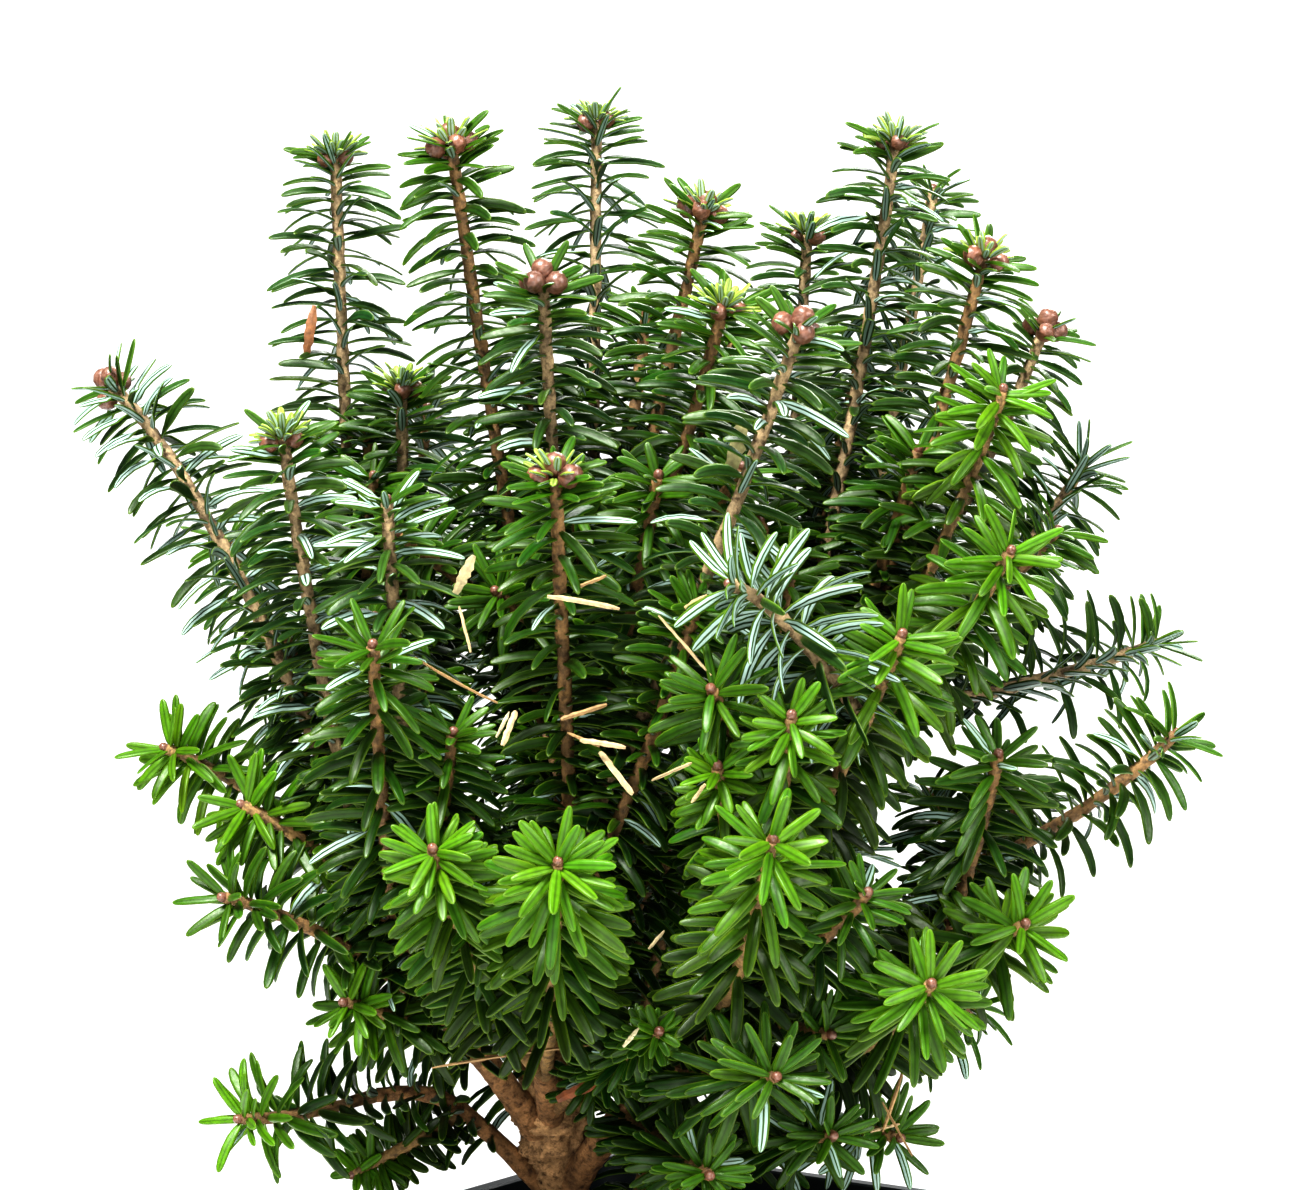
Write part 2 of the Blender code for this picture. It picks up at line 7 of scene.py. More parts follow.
import json
import math
from collections import namedtuple

import bmesh
import bpy
import numpy as np
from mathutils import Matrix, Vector, noise
from mathutils.geometry import interpolate_bezier

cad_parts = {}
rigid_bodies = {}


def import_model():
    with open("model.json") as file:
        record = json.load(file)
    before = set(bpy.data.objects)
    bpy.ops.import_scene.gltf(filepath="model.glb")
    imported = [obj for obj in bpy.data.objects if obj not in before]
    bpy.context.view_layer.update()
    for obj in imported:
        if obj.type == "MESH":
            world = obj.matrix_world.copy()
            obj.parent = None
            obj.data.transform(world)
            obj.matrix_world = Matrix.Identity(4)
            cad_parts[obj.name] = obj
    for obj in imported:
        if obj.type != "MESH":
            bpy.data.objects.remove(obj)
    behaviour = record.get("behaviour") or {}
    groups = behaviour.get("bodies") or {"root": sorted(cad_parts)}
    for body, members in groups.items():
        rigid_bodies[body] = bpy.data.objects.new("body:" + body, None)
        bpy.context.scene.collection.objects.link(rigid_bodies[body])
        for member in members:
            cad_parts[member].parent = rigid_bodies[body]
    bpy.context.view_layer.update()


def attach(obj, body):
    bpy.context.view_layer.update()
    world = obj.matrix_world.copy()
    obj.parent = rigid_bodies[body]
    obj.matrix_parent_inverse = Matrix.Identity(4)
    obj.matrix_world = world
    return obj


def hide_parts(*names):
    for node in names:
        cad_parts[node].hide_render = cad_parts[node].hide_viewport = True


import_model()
BODY = "root"

# ---- sizes, as the CAD model has them ----

POT_WIDTH = 0.150
POT_HEIGHT = 0.150
POT_BASE_WIDTH = 0.112
POT_WALL = 0.0018
POT_CORNER = 0.014
POT_TURN = math.radians(-35)
COLLAR_HEIGHT = 0.012
COLLAR_STEP = 0.0025
LIP_PROUD = 0.0025
DRAIN_DIAMETER = 0.012
DRAIN_RADIUS = 0.036
HEADSPACE = 0.017
SOIL_CROWN = 0.004
SOIL_TOP = POT_HEIGHT - HEADSPACE
NECK_WIDTH = POT_WIDTH - 2 * (COLLAR_STEP + LIP_PROUD)

CROWN_WIDTH = 0.270
CROWN_DEPTH = 0.250
CROWN_HEIGHT = 0.270
CROWN_SHIFT = -0.011
TRUNK_RADIUS = 0.0046
KNOT_RADIUS = 0.0078

# ---- sizes of the fine detail ----

TWIG_RADIUS = 0.00150
TWIG_TIP_RADIUS = 0.00130
NEEDLE_LENGTH = 0.0170
NEEDLE_WIDTH = 0.0026
NEEDLE_THICKNESS = 0.00070
NEEDLES_PER_METRE = 1320
BUD_LENGTH = 0.0052
BUD_RADIUS = 0.0025
RING_STEP = 0.0011
GOLDEN_TURN = math.radians(137.508)

# ---- the tree's plan: the same points as the CAD model's, and the small shoots that only show here ----
# A point of the crown is (across, depth, height), each a share of the crown's size.

Limb = namedtuple("Limb", "name parent at points start_radius end_radius")
Shoot = namedtuple("Shoot", "limb at tip bow tone end size bare", defaults=("dark", "bud", 1.0, 0.03))

TRUNK_POINTS = [(-0.13, 0.00, 0.00), (-0.16, -0.03, 0.10), (-0.165, -0.04, 0.155)]

LIMBS = [Limb(*row) for row in (
    ("leader", "trunk", 1.00,
     [(-0.16, -0.04, 0.24), (-0.15, -0.02, 0.32), (-0.11, 0.02, 0.42), (-0.08, 0.04, 0.50)], 3.6, 2.2),
    ("left_limb", "trunk", 0.74,
     [(-0.25, -0.13, 0.15), (-0.34, -0.26, 0.22), (-0.43, -0.30, 0.30), (-0.50, -0.26, 0.38)], 3.2, 2.0),
    ("left_back_limb", "trunk", 0.86,
     [(-0.28, 0.10, 0.20), (-0.42, 0.20, 0.31), (-0.52, 0.28, 0.45)], 2.8, 1.8),
    ("left_low_limb", "trunk", 0.58,
     [(-0.33, -0.06, 0.12), (-0.46, -0.08, 0.13)], 2.2, 1.7),
    ("front_limb", "trunk", 0.80,
     [(-0.17, -0.25, 0.18), (-0.15, -0.42, 0.27), (-0.12, -0.48, 0.40)], 2.8, 1.8),
    ("right_limb", "trunk", 0.64,
     [(-0.01, -0.20, 0.14), (0.07, -0.32, 0.19), (0.15, -0.44, 0.25), (0.20, -0.44, 0.34),
      (0.22, -0.42, 0.42)], 3.4, 2.0),
    ("right_high_limb", "leader", 0.22,
     [(0.02, 0.03, 0.32), (0.18, 0.02, 0.38), (0.33, 0.00, 0.45)], 2.8, 1.8),
    ("low_stem", "trunk", 0.47,
     [(0.04, -0.05, 0.05), (0.17, -0.08, 0.10), (0.34, -0.08, 0.18), (0.50, -0.08, 0.27),
      (0.58, -0.06, 0.33)], 3.2, 2.0),
    ("right_back_limb", "leader", 0.42,
     [(0.02, 0.26, 0.33), (0.18, 0.42, 0.39), (0.34, 0.48, 0.46)], 2.6, 1.8),
    ("back_low_limb", "trunk", 0.70,
     [(-0.13, 0.22, 0.14), (-0.10, 0.42, 0.20), (-0.08, 0.54, 0.29)], 2.6, 1.8),
)]


def planted(groups):
    """Shoots from groups of rows, each group on one limb."""
    return [Shoot(limb, *row) for limb, rows in groups for row in rows]


# A shoot's end is "buds" for a resting cluster, "tuft" for an opening one, "bud" for a single small bud, and
# "under" for a small bud on a shoot that shows the undersides of its needles; "fresh" has new, pale needles.
# Bare is the share of the shoot that has shed its needles.
SHOOTS = planted([
    ("leader", [(0.56, (-0.33, -0.04, 0.94), 0.05, "dark", "buds"),
        (0.88, (-0.09, 0.46, 0.98), 0.10, "blue", "tuft"), (1.00, (0.10, 0.02, 0.885), 0.00, "dark", "buds"),
        (0.72, (-0.17, -0.22, 0.82), 0.10, "blue", "buds")]),
    ("left_limb", [(1.00, (-0.91, -0.04, 0.735), -0.12, "blue", "buds"),
        (0.90, (-0.59, -0.34, 0.69), 0.08, "blue", "tuft"), (0.60, (-0.41, -0.50, 0.64), 0.12, "blue"),
        (0.72, (-0.42, -0.68, 0.53), 0.14), (0.80, (-0.66, -0.32, 0.39), -0.06, "bright"),
        (0.48, (-0.68, -0.42, 0.32), -0.08)]),
    ("left_back_limb", [(1.00, (-0.56, 0.34, 0.945), 0.00, "blue", "tuft"),
        (0.62, (-0.43, 0.16, 0.735), 0.10, "blue", "tuft"), (0.50, (-0.84, 0.10, 0.42), -0.05, "bright"),
        (0.88, (-0.78, 0.56, 0.60), 0.10), (0.76, (-0.42, 0.74, 0.72), 0.12, "dark", "tuft")]),
    ("left_low_limb", [(1.00, (-0.68, -0.20, 0.12), 0.05, "dark", "fresh")]),
    ("front_limb", [(1.00, (-0.14, -0.60, 0.66), 0.04, "dark", "buds"),
        (0.24, (-0.13, -0.90, 0.375), 0.06, "bright", "bud", 1.0, 0.36),
        (0.26, (-0.32, -0.82, 0.38), 0.10, "bright", "bud", 0.86, 0.40),
        (0.86, (0.24, -0.56, 0.775), 0.08, "blue", "buds")]),
    ("right_limb", [(0.52, (0.19, -0.86, 0.39), 0.12, "bright"), (0.96, (0.10, -0.78, 0.50), 0.04),
        (0.84, (0.39, -0.74, 0.54), 0.10, "bright"), (0.38, (0.20, -0.72, 0.20), 0.02)]),
    ("right_high_limb", [(0.76, (0.44, 0.18, 0.95), 0.12, "blue", "tuft"),
        (1.00, (0.58, 0.00, 0.845), 0.06, "dark", "buds"), (0.94, (0.59, -0.24, 0.73), 0.14, "bright"),
        (0.82, (0.58, -0.48, 0.60), 0.14, "bright"), (0.98, (0.91, 0.20, 0.51), 0.03, "blue")]),
    ("low_stem", [(1.00, (0.90, -0.10, 0.44), 0.08), (0.74, (0.61, -0.44, 0.30), 0.04, "bright"),
        (0.56, (0.44, -0.70, 0.27), 0.06, "bright"), (0.40, (0.42, -0.26, 0.11), -0.04)]),
    ("right_back_limb", [(0.80, (0.30, 0.52, 0.88), 0.12, "blue", "tuft"),
        (1.00, (0.72, 0.34, 0.79), 0.14, "blue", "buds"), (0.92, (0.56, 0.76, 0.60), 0.08),
        (0.52, (0.12, 0.86, 0.66), 0.12, "dark", "tuft")]),
    ("back_low_limb", [(1.00, (-0.12, 0.90, 0.40), 0.06), (0.62, (0.22, 0.84, 0.20), 0.02)]),
])

SIDE_SHOOTS = planted([
    ("leader", [(0.92, (0.13, -0.16, 0.80), 0.08, "dark", "tuft"),
        (0.64, (0.02, -0.48, 0.66), 0.12, "dark", "bud", 0.8), (0.50, (-0.26, 0.24, 0.62), 0.12),
        (0.60, (-0.22, 0.20, 0.80), 0.10), (0.96, (0.16, 0.30, 0.78), 0.10)]),
    ("right_high_limb", [(0.90, (0.53, 0.48, 0.92), 0.10, "blue", "buds", 0.9),
        (0.97, (0.81, 0.46, 0.67), 0.10, "blue")]),
    ("left_limb", [(0.34, (-0.49, -0.36, 0.23), -0.04, "bright", "bud", 0.85),
        (0.66, (-0.30, -0.62, 0.46), 0.12, "dark", "bud", 0.8), (0.92, (-0.60, -0.16, 0.52), 0.08)]),
    ("left_back_limb", [(0.34, (-0.58, 0.46, 0.28), 0.04)]),
    ("left_low_limb", [(0.62, (-0.50, -0.06, 0.06), 0.02, "bright", "bud", 0.6)]),
    ("front_limb", [(0.10, (0.02, -0.60, 0.225), 0.00, "dark", "bud", 0.5, 0.3),
        (0.56, (-0.26, -0.70, 0.33), 0.06, "dark", "bud", 0.8, 0.3),
        (0.70, (0.08, -0.62, 0.56), 0.10, "dark", "bud", 0.8)]),
    ("right_limb_shoot_3", [(0.70, (0.13, -0.80, 0.580), -0.12, "blue", "under", 1.15)]),
    ("right_limb", [(0.66, (0.34, -0.70, 0.34), 0.10, "dark", "bud", 0.85),
        (0.74, (0.22, -0.80, 0.48), 0.10, "bright", "bud", 0.8),
        (0.70, (0.11, -0.76, 0.44), 0.06, "bright", "bud", 0.7),
        (0.60, (0.29, -0.56, 0.22), 0.02, "dark", "bud", 0.9),
        (0.24, (0.10, -0.58, 0.11), 0.00, "dark", "bud", 0.8)]),
    ("right_high_limb", [(0.50, (0.24, -0.30, 0.58), 0.10), (0.66, (0.36, 0.30, 0.70), 0.10),
        (0.86, (0.46, -0.12, 0.68), 0.10)]),
    ("low_stem", [(0.30, (0.30, -0.46, 0.13), -0.02, "dark", "bud", 0.85), (0.64, (0.58, 0.02, 0.20), 0.04),
        (0.90, (0.58, -0.30, 0.43), 0.08)]),
    ("right_back_limb", [(0.36, (0.40, 0.66, 0.30), 0.04)]),
    ("right_limb", [(0.22, (0.03, -0.06, 0.27), 0.00, "dark", "bud", 0.9)]),
    ("low_stem", [(0.14, (0.08, 0.10, 0.21), 0.00, "dark", "bud", 0.9)]),
    ("back_low_limb", [(0.25, (0.02, 0.22, 0.27), 0.00)]),
    ("front_limb", [(0.45, (0.04, -0.18, 0.34), 0.04)]),
    ("right_back_limb", [(0.96, (0.70, 0.40, 0.60), 0.08)]),
    ("right_high_limb", [(0.99, (0.72, 0.12, 0.61), 0.06)]),
    ("low_stem", [(0.80, (0.66, 0.08, 0.38), 0.04)]),
    ("right_back_limb", [(0.70, (0.40, 0.44, 0.78), 0.10)]),
    ("leader", [(0.98, (0.00, 0.25, 0.80), 0.06)]),
    ("left_back_limb", [(0.80, (-0.50, 0.30, 0.70), 0.06)]),
    ("back_low_limb", [(0.44, (-0.34, 0.72, 0.20), 0.02), (0.86, (-0.30, 0.80, 0.54), 0.10)]),
])

# Where each limb's own coat of needles starts, as a share of its length.
COATS = {"leader": 0.30, "left_limb": 0.55, "left_back_limb": 0.30, "left_low_limb": 0.45, "front_limb": 0.62,
         "right_limb": 0.50, "right_high_limb": 0.25, "low_stem": 0.36, "right_back_limb": 0.25,
         "back_low_limb": 0.25}
INNER_SPRIGS = 54
# The share of needles that show their undersides, where it is more than a few.
UNDERSIDES = {("left_limb", "blue"): 0.38, ("low_stem", "dark"): 0.12, ("right_high_limb", "blue"): 0.12,
              ("leader", "blue"): 0.08, ("front_limb", "blue"): 0.10, ("left_back_limb", "blue"): 0.08}

# How far the tip's needles turn into a star that faces the light.
STARS = {"dark": 0.35, "blue": 0.2, "bright": 0.92}

# ---- colours, linear ----

NEEDLE_TINT = {"dark": (0.015, 0.048, 0.0020), "blue": (0.018, 0.049, 0.0075), "bright": (0.048, 0.124, 0.0030)}
BAND_WHITE = (0.34, 0.46, 0.41)
FRESH_GREEN = (0.23, 0.31, 0.055)
FLOOR_WHITE = (0.88, 0.88, 0.87)

# ---- curves ----


def crown_point(point):
    """The place of a crown point, in metres."""
    across, depth, height = point
    return Vector((CROWN_SHIFT + across * CROWN_WIDTH / 2, depth * CROWN_DEPTH / 2,
                   POT_HEIGHT + height * CROWN_HEIGHT))


def even_points(samples, step):
    """Resamples a fine polyline at nearly equal steps, keeping both its ends."""
    lengths = [0.0]
    for first, second in zip(samples, samples[1:]):
        lengths.append(lengths[-1] + (second - first).length)
    count = max(2, round(lengths[-1] / step))
    route = []
    at = 0
    for index in range(count + 1):
        target = lengths[-1] * index / count
        while at < len(lengths) - 2 and lengths[at + 1] < target:
            at += 1
        span = lengths[at + 1] - lengths[at]
        route.append(samples[at].lerp(samples[at + 1], (target - lengths[at]) / span))
    return route


def smooth_route(points, step):
    """Evenly spaced points along a smooth curve through the given points."""
    samples = []
    last = len(points) - 1
    for index in range(last):
        before = points[max(index - 1, 0)]
        after = points[min(index + 2, last)]
        start, end = points[index], points[index + 1]
        handle_out = start + (end - before) / 6
        handle_in = end - (after - start) / 6
        span = interpolate_bezier(start, handle_out, handle_in, end, 24)
        samples += span if not samples else span[1:]
    return even_points(samples, step)


def point_along(route, share):
    """The point at a share of a route's length, counted in its even steps."""
    place = share * (len(route) - 1)
    first = min(int(place), len(route) - 2)
    return route[first].lerp(route[first + 1], place - first)


def shoot_line(shoot, limb_line):
    """A shoot's line: it leaves its limb and bends to its tip, below the chord where bow is positive."""
    start = point_along(limb_line, shoot.at)
    tip = crown_point(shoot.tip)
    chord = tip - start
    sag = Vector((0, 0, -shoot.bow * chord.length))
    return interpolate_bezier(start, start + chord * 0.35 + sag, start + chord * 0.72 + sag, tip, 40)


def unit(vectors):
    """The same directions at length one."""
    return vectors / np.maximum(np.linalg.norm(vectors, axis=-1, keepdims=True), 1e-12)


def frames_along(route):
    """Points, tangents and two crosswise directions that turn as little as they can along a route."""
    points = np.array([tuple(point) for point in route])
    tangents = unit(np.gradient(points, axis=0))
    across = np.zeros_like(points)
    seed = np.array((0.0, 0.0, 1.0)) if abs(tangents[0][2]) < 0.8 else np.array((0.0, 1.0, 0.0))
    current = np.cross(tangents[0], seed)
    for index, tangent in enumerate(tangents):
        current = current - tangent * current.dot(tangent)
        current /= np.linalg.norm(current)
        across[index] = current
    return points, tangents, across, np.cross(tangents, across)


def crosswise(direction):
    """Two directions square to a given one and to each other."""
    seed = np.array((1.0, 0.0, 0.0)) if abs(direction[0]) < 0.8 else np.array((0.0, 1.0, 0.0))
    across = unit(np.cross(direction, seed))
    return across, np.cross(direction, across)


def spokes(turns, across, other):
    """Directions at the given turns round a line, from its two crosswise directions."""
    return np.cos(turns)[:, None] * across + np.sin(turns)[:, None] * other


def leaning(lean, tangent, outward):
    """Directions that lean outwards from a line, and the normals of their upper faces."""
    sine, cosine = np.sin(lean)[:, None], np.cos(lean)[:, None]
    return cosine * tangent + sine * outward, sine * tangent - cosine * outward


def summed(first, second):
    """The dot product of each pair of directions."""
    return (first * second).sum(1)


# ---- meshes ----

# The empty share round a cell of the bake's map.
CELL_MARGIN = 0.06


def placed(name, data):
    """A new object in the scene."""
    obj = bpy.data.objects.new(name, data)
    bpy.context.scene.collection.objects.link(obj)
    return obj


def paint(mesh, name, colours):
    """Paints a colour on each vertex of a mesh."""
    layer = mesh.color_attributes.new(name, 'FLOAT_COLOR', 'POINT')
    rgba = np.ones((len(colours), 4), np.float32)
    rgba[:, :3] = colours
    layer.data.foreach_set("color", rgba.ravel())


def tube_grid(rows, columns):
    """The quads of a tube of rings, and their bake coordinates in a unit cell."""
    row, column = (axis.ravel() for axis in np.meshgrid(np.arange(rows - 1), np.arange(columns), indexing="ij"))
    first, beside = row * columns + column, row * columns + (column + 1) % columns
    u = np.stack([column, column + 1, column + 1, column], axis=1) / columns
    v = np.stack([row, row, row + 1, row + 1], axis=1) / (rows - 1)
    return (np.stack([first, beside, beside + columns, first + columns], axis=1),
            CELL_MARGIN + (1 - 2 * CELL_MARGIN) * np.stack([u, v], axis=-1))


def tube_caps(rows, columns):
    """The two faces that close a tube, each with its bake coordinates: a small round in the cell's margin."""
    turns = np.arange(columns) * math.tau / columns
    circle = CELL_MARGIN / 3 * np.stack([np.cos(turns), np.sin(turns)], axis=1)
    for ring, order, height in ((0, -1, CELL_MARGIN / 2), (rows - 1, 1, 1 - CELL_MARGIN / 2)):
        yield ((ring * columns + np.arange(columns))[None, ::order],
               (circle + np.array((CELL_MARGIN / 2, height)))[None, ::order])


class Shape:
    """Closed tubes gathered into one mesh, with their colours, bake coordinates and materials."""

    def __init__(self):
        self.points, self.colours, self.blades, self.faces, self.uvs, self.slots = [], [], [], [], [], []

    def add_tubes(self, points, rows, columns, colours, slot, cells, blades=(0.0, 0.0, 0.0)):
        """Adds equal tubes of rings, one for each cell (left, bottom, width, height) of the bake's map."""
        firsts = sum(map(len, self.points)) + np.arange(len(cells))[:, None, None] * rows * columns
        places = np.array(cells)[:, None, None, :]
        for faces, spots in (tube_grid(rows, columns), *tube_caps(rows, columns)):
            self.faces.append((faces + firsts).reshape(-1, faces.shape[1]))
            self.uvs.append((places[..., :2] + places[..., 2:] * spots).reshape(-1, 2))
            self.slots.append(np.full(len(cells) * len(faces), slot))
        self.points.append(points)
        self.colours.append(np.broadcast_to(colours, (len(points), 3)))
        self.blades.append(np.broadcast_to(blades, (len(points), 3)))

    def build(self, name, materials, smooth=True):
        """The finished object, riding on the body."""
        mesh = bpy.data.meshes.new(name)
        points = np.concatenate(self.points)
        corners = np.concatenate([faces.ravel() for faces in self.faces])
        sizes = np.concatenate([np.full(len(faces), faces.shape[1]) for faces in self.faces])
        starts = np.concatenate(([0], np.cumsum(sizes)[:-1]))
        mesh.vertices.add(len(points))
        mesh.vertices.foreach_set("co", points.astype(np.float32).ravel())
        mesh.loops.add(len(corners))
        mesh.loops.foreach_set("vertex_index", corners.astype(np.int32))
        mesh.polygons.add(len(sizes))
        mesh.polygons.foreach_set("loop_start", starts.astype(np.int32))
        mesh.polygons.foreach_set("material_index", np.concatenate(self.slots).astype(np.int32))
        mesh.polygons.foreach_set("use_smooth", np.full(len(sizes), smooth))
        layer = mesh.uv_layers.new(name="OFBake")
        layer.data.foreach_set("uv", np.concatenate(self.uvs).ravel())
        paint(mesh, "tint", np.concatenate(self.colours))
        paint(mesh, "blade", np.concatenate(self.blades))
        mesh.update(calc_edges=True)
        mesh.validate()
        obj = placed(name, mesh)
        for material in materials:
            mesh.materials.append(material)
        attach(obj, BODY)
        return obj


def fbm(place, scale, octaves=4):
    """Layered noise at a place, about -1 to 1."""
    return noise.fractal(Vector(place) * scale, 1.0, 2.0, octaves, noise_basis='PERLIN_ORIGINAL')


def bark_tube(shape, route, radii, sides, slot, tint, rough, cell, grain=(1.0, 1.0, 0.45)):
    """A closed tube of rough bark along a route. The grain stretches its cracks up or across."""
    points, _, across, other = frames_along(route)
    turns = np.arange(sides) * math.tau / sides
    rings, colours = [], []
    for point, radius, first, second in zip(points, radii, across, other):
        for outward in spokes(turns, first, second):
            place = point + outward * radius
            swell = 1 + rough * (0.55 * fbm(place, 260) + 0.6 * abs(fbm(place * grain, 640, 3)))
            rings.append(point + outward * radius * swell)
            # The colour is painted darker in the hollows and lighter on the ridges of the bumps: painted shade and
            # painted light.
            colours.append(np.array(tint) * max(0.45, min(1.5, 0.80 + 0.85 * (swell - 1) / rough)))
    shape.add_tubes(np.array(rings), len(points), sides, np.array(colours), slot, [cell])


# ---- needles ----

# Across the needle: half-width share, height in half-thicknesses, and 0 on top, 1 underneath.
SECTION = np.array([(-1.00, 0.00, 0.5), (-0.55, 0.90, 0.0), (0.00, 0.30, 0.0), (0.55, 0.90, 0.0),
                    (1.00, 0.00, 0.5), (0.52, -0.62, 1.0), (0.00, -1.00, 1.0), (-0.52, -0.62, 1.0)])
# Along the needle: share of the length, width share, thickness share.
STATIONS = np.array([(0.00, 0.34, 0.9), (0.06, 0.50, 0.9), (0.17, 0.84, 1.0), (0.36, 1.00, 1.0),
                     (0.58, 1.00, 1.0), (0.78, 0.93, 0.95), (0.91, 0.74, 0.85), (0.975, 0.46, 0.7),
                     (1.00, 0.18, 0.45)])
# Needles stand closer over the last millimetres of a shoot, and there they lean forwards and turn to the light.
TIP_CROWDING, CROWDED_REACH = 1.5, 0.007
LEANING_REACH, STAR_REACH = 0.013, 0.028
# Degrees from the twig: the usual lean, what the tip takes off it, and what facing the light takes off it.
LEAN, TIP_LEAN, LIGHT_LEAN = 84, 34, 24
# Degrees of curl from end to end, and what the tip takes off it.
CURL, TIP_CURL = 42, 24
# How far needles below a level twig are combed up to its sides, and how far upper faces turn to the light.
COMBING = 0.85
FACING = 0.62


def grow_needles(shape, roots, starts, normals, lengths, widths, curls, twists, colours, cells, slot):
    """Adds curved, grooved needles. A needle starts along its start and curls away from its normal."""
    s = STATIONS[:, 0][None, :, None]
    curl = np.maximum(curls, 1e-3)[:, None, None]
    start, up = starts[:, None, :], normals[:, None, :]
    arc = np.sin(curl * s) / curl * start - (1 - np.cos(curl * s)) / curl * up
    middle = roots[:, None, :] + lengths[:, None, None] * arc
    upward = np.sin(curl * s) * start + np.cos(curl * s) * up
    along = np.cos(curl * s) * start - np.sin(curl * s) * up
    side = np.cross(along, upward)
    turn = twists[:, None, None] * np.minimum(1.0, 0.25 + s * 2.5)
    side, upward = np.cos(turn) * side + np.sin(turn) * upward, np.cos(turn) * upward - np.sin(turn) * side
    width = STATIONS[:, 1][None, :, None, None] * widths[:, None, None, None] / 2
    thick = STATIONS[:, 2][None, :, None, None] * NEEDLE_THICKNESS / 2
    across = SECTION[:, 0][None, None, :, None] * width * side[:, :, None, :]
    height = SECTION[:, 1][None, None, :, None] * thick * upward[:, :, None, :]
    points = middle[:, :, None, :] + across + height
    rows, columns = len(STATIONS), len(SECTION)
    blade = np.empty((rows, columns, 3))
    blade[:, :, 0] = np.abs(SECTION[:, 0])
    blade[:, :, 1] = SECTION[:, 2]
    blade[:, :, 2] = STATIONS[:, 0][:, None]
    shape.add_tubes(points.reshape(-1, 3), rows, columns, np.repeat(colours, rows * columns, axis=0), slot, cells,
                    np.tile(blade.reshape(-1, 3), (len(roots), 1)))


def cell_grid(count, bottom):
    """Cells for so many pieces, in the part of the map above a height."""
    columns = math.ceil(math.sqrt(count * 1.1))
    rows = math.ceil(count / columns)
    tall = (1 - bottom) / rows
    return [((index % columns) / columns, bottom + (index // columns) * tall, 1 / columns, tall)
            for index in range(count)]


def light_side(tip):
    """The way a shoot's needles turn their upper faces: outwards and up, and mostly towards the front."""
    outward = np.array((tip.x - CROWN_SHIFT, tip.y, 0.0)) / (CROWN_WIDTH / 2)
    if tip.y > 0.30 * CROWN_DEPTH:
        return unit(outward + np.array((0.0, 0.0, 0.45)))
    return unit(outward * 0.45 + np.array((0.0, -1.0, 0.40)))


def needle_plan(route, rng, light, size=1.0, tipped=True, star=0.25, under=0.02, bare=0.03):
    """Where each needle of a shoot stands, where it points, and how long, curled and twisted it is."""
    points, tangents, across, other = frames_along(even_points(route, 0.0008))
    length = np.linalg.norm(np.diff(points, axis=0), axis=1).sum()
    stations = np.linspace(0, 1, 200)
    crowded = TIP_CROWDING * tipped * np.exp(-(1 - stations) * length / CROWDED_REACH)
    crowding = np.cumsum(1 + crowded)
    count = max(12, round(length * NEEDLES_PER_METRE * crowding[-1] / 200 / size ** 0.5))
    rank = (np.arange(count) + rng.uniform(-0.3, 0.3, count) + 0.5) / count
    place = np.interp(rank, crowding / crowding[-1], stations)
    place = np.clip(bare + (1 - bare) * place, 0, 0.998)
    index = (place * (len(points) - 1)).astype(int)
    tangent = tangents[index]
    azimuth = np.arange(count) * GOLDEN_TURN + rng.normal(0, 0.16, count) + rng.uniform(0, math.tau)
    facing = np.arctan2(summed(other[index], light), summed(across[index], light))
    azimuth = azimuth + 0.08 * np.sin(2 * (azimuth - facing))
    left = (1 - place) * length
    turning = star * tipped * np.clip(1 - left / STAR_REACH, 0, 1)[:, None] ** 0.6
    tangent = unit(tangent * (1 - turning) + light * turning)
    outward = spokes(azimuth, across[index], other[index])
    outward = unit(outward - tangent * summed(outward, tangent)[:, None])
    upright = np.array((0.0, 0.0, 1.0)) - tangent * tangent[:, 2:3]
    lying = np.linalg.norm(upright, axis=1, keepdims=True)
    sky = upright / np.maximum(lying, 1e-6)
    below = np.minimum(summed(outward, sky), 0)[:, None]
    outward = unit(outward - sky * below * (COMBING * lying ** 2 * (1 - turning)))
    near_tip = tipped * np.clip(1 - left / LEANING_REACH, 0, 1)
    toward = np.clip(summed(outward, light), 0, 1)
    lean = np.radians(LEAN - TIP_LEAN * near_tip ** 1.4 - LIGHT_LEAN * toward * (1 - near_tip))
    start, normal = leaning(lean + rng.normal(0, 0.15, count), tangent, outward)
    curl = np.clip(np.radians(CURL - TIP_CURL * near_tip) + rng.normal(0, 0.18, count), 0.02, 1.3)
    youth = np.clip(place * 3.2, 0, 1)
    lengths = NEEDLE_LENGTH * size * (0.70 + 0.30 * youth) * (1 - 0.30 * near_tip) * rng.uniform(0.84, 1.06, count)
    aside = np.cross(start, normal)
    swing = np.arctan2(summed(aside, light), summed(normal, light))
    visible = np.sqrt(1 - np.clip(summed(start, light), -1, 1) ** 2)
    twists = -(FACING + 0.2 * lying[:, 0]) * swing * visible + rng.normal(0, 0.28, count)
    twists = twists + math.pi * (rng.uniform(0, 1, count) < under)
    thickness = TWIG_RADIUS + (TWIG_TIP_RADIUS - TWIG_RADIUS) * place
    roots = points[index] + start * (thickness * 0.55)[:, None]
    return roots, start, normal, lengths, curl, twists, near_tip, place


def scales(turn, height):
    """How far a bud's scales stand out at a turn (0 to 1) and a height (0 to 1)."""
    rows = 5.0
    row = math.floor(height * rows)
    across = (turn * 5 + 0.5 * (row % 2)) % 1.0
    level = height * rows + 0.55 * (2 * across - 1) ** 2
    return (level % 1.0) ** 0.8


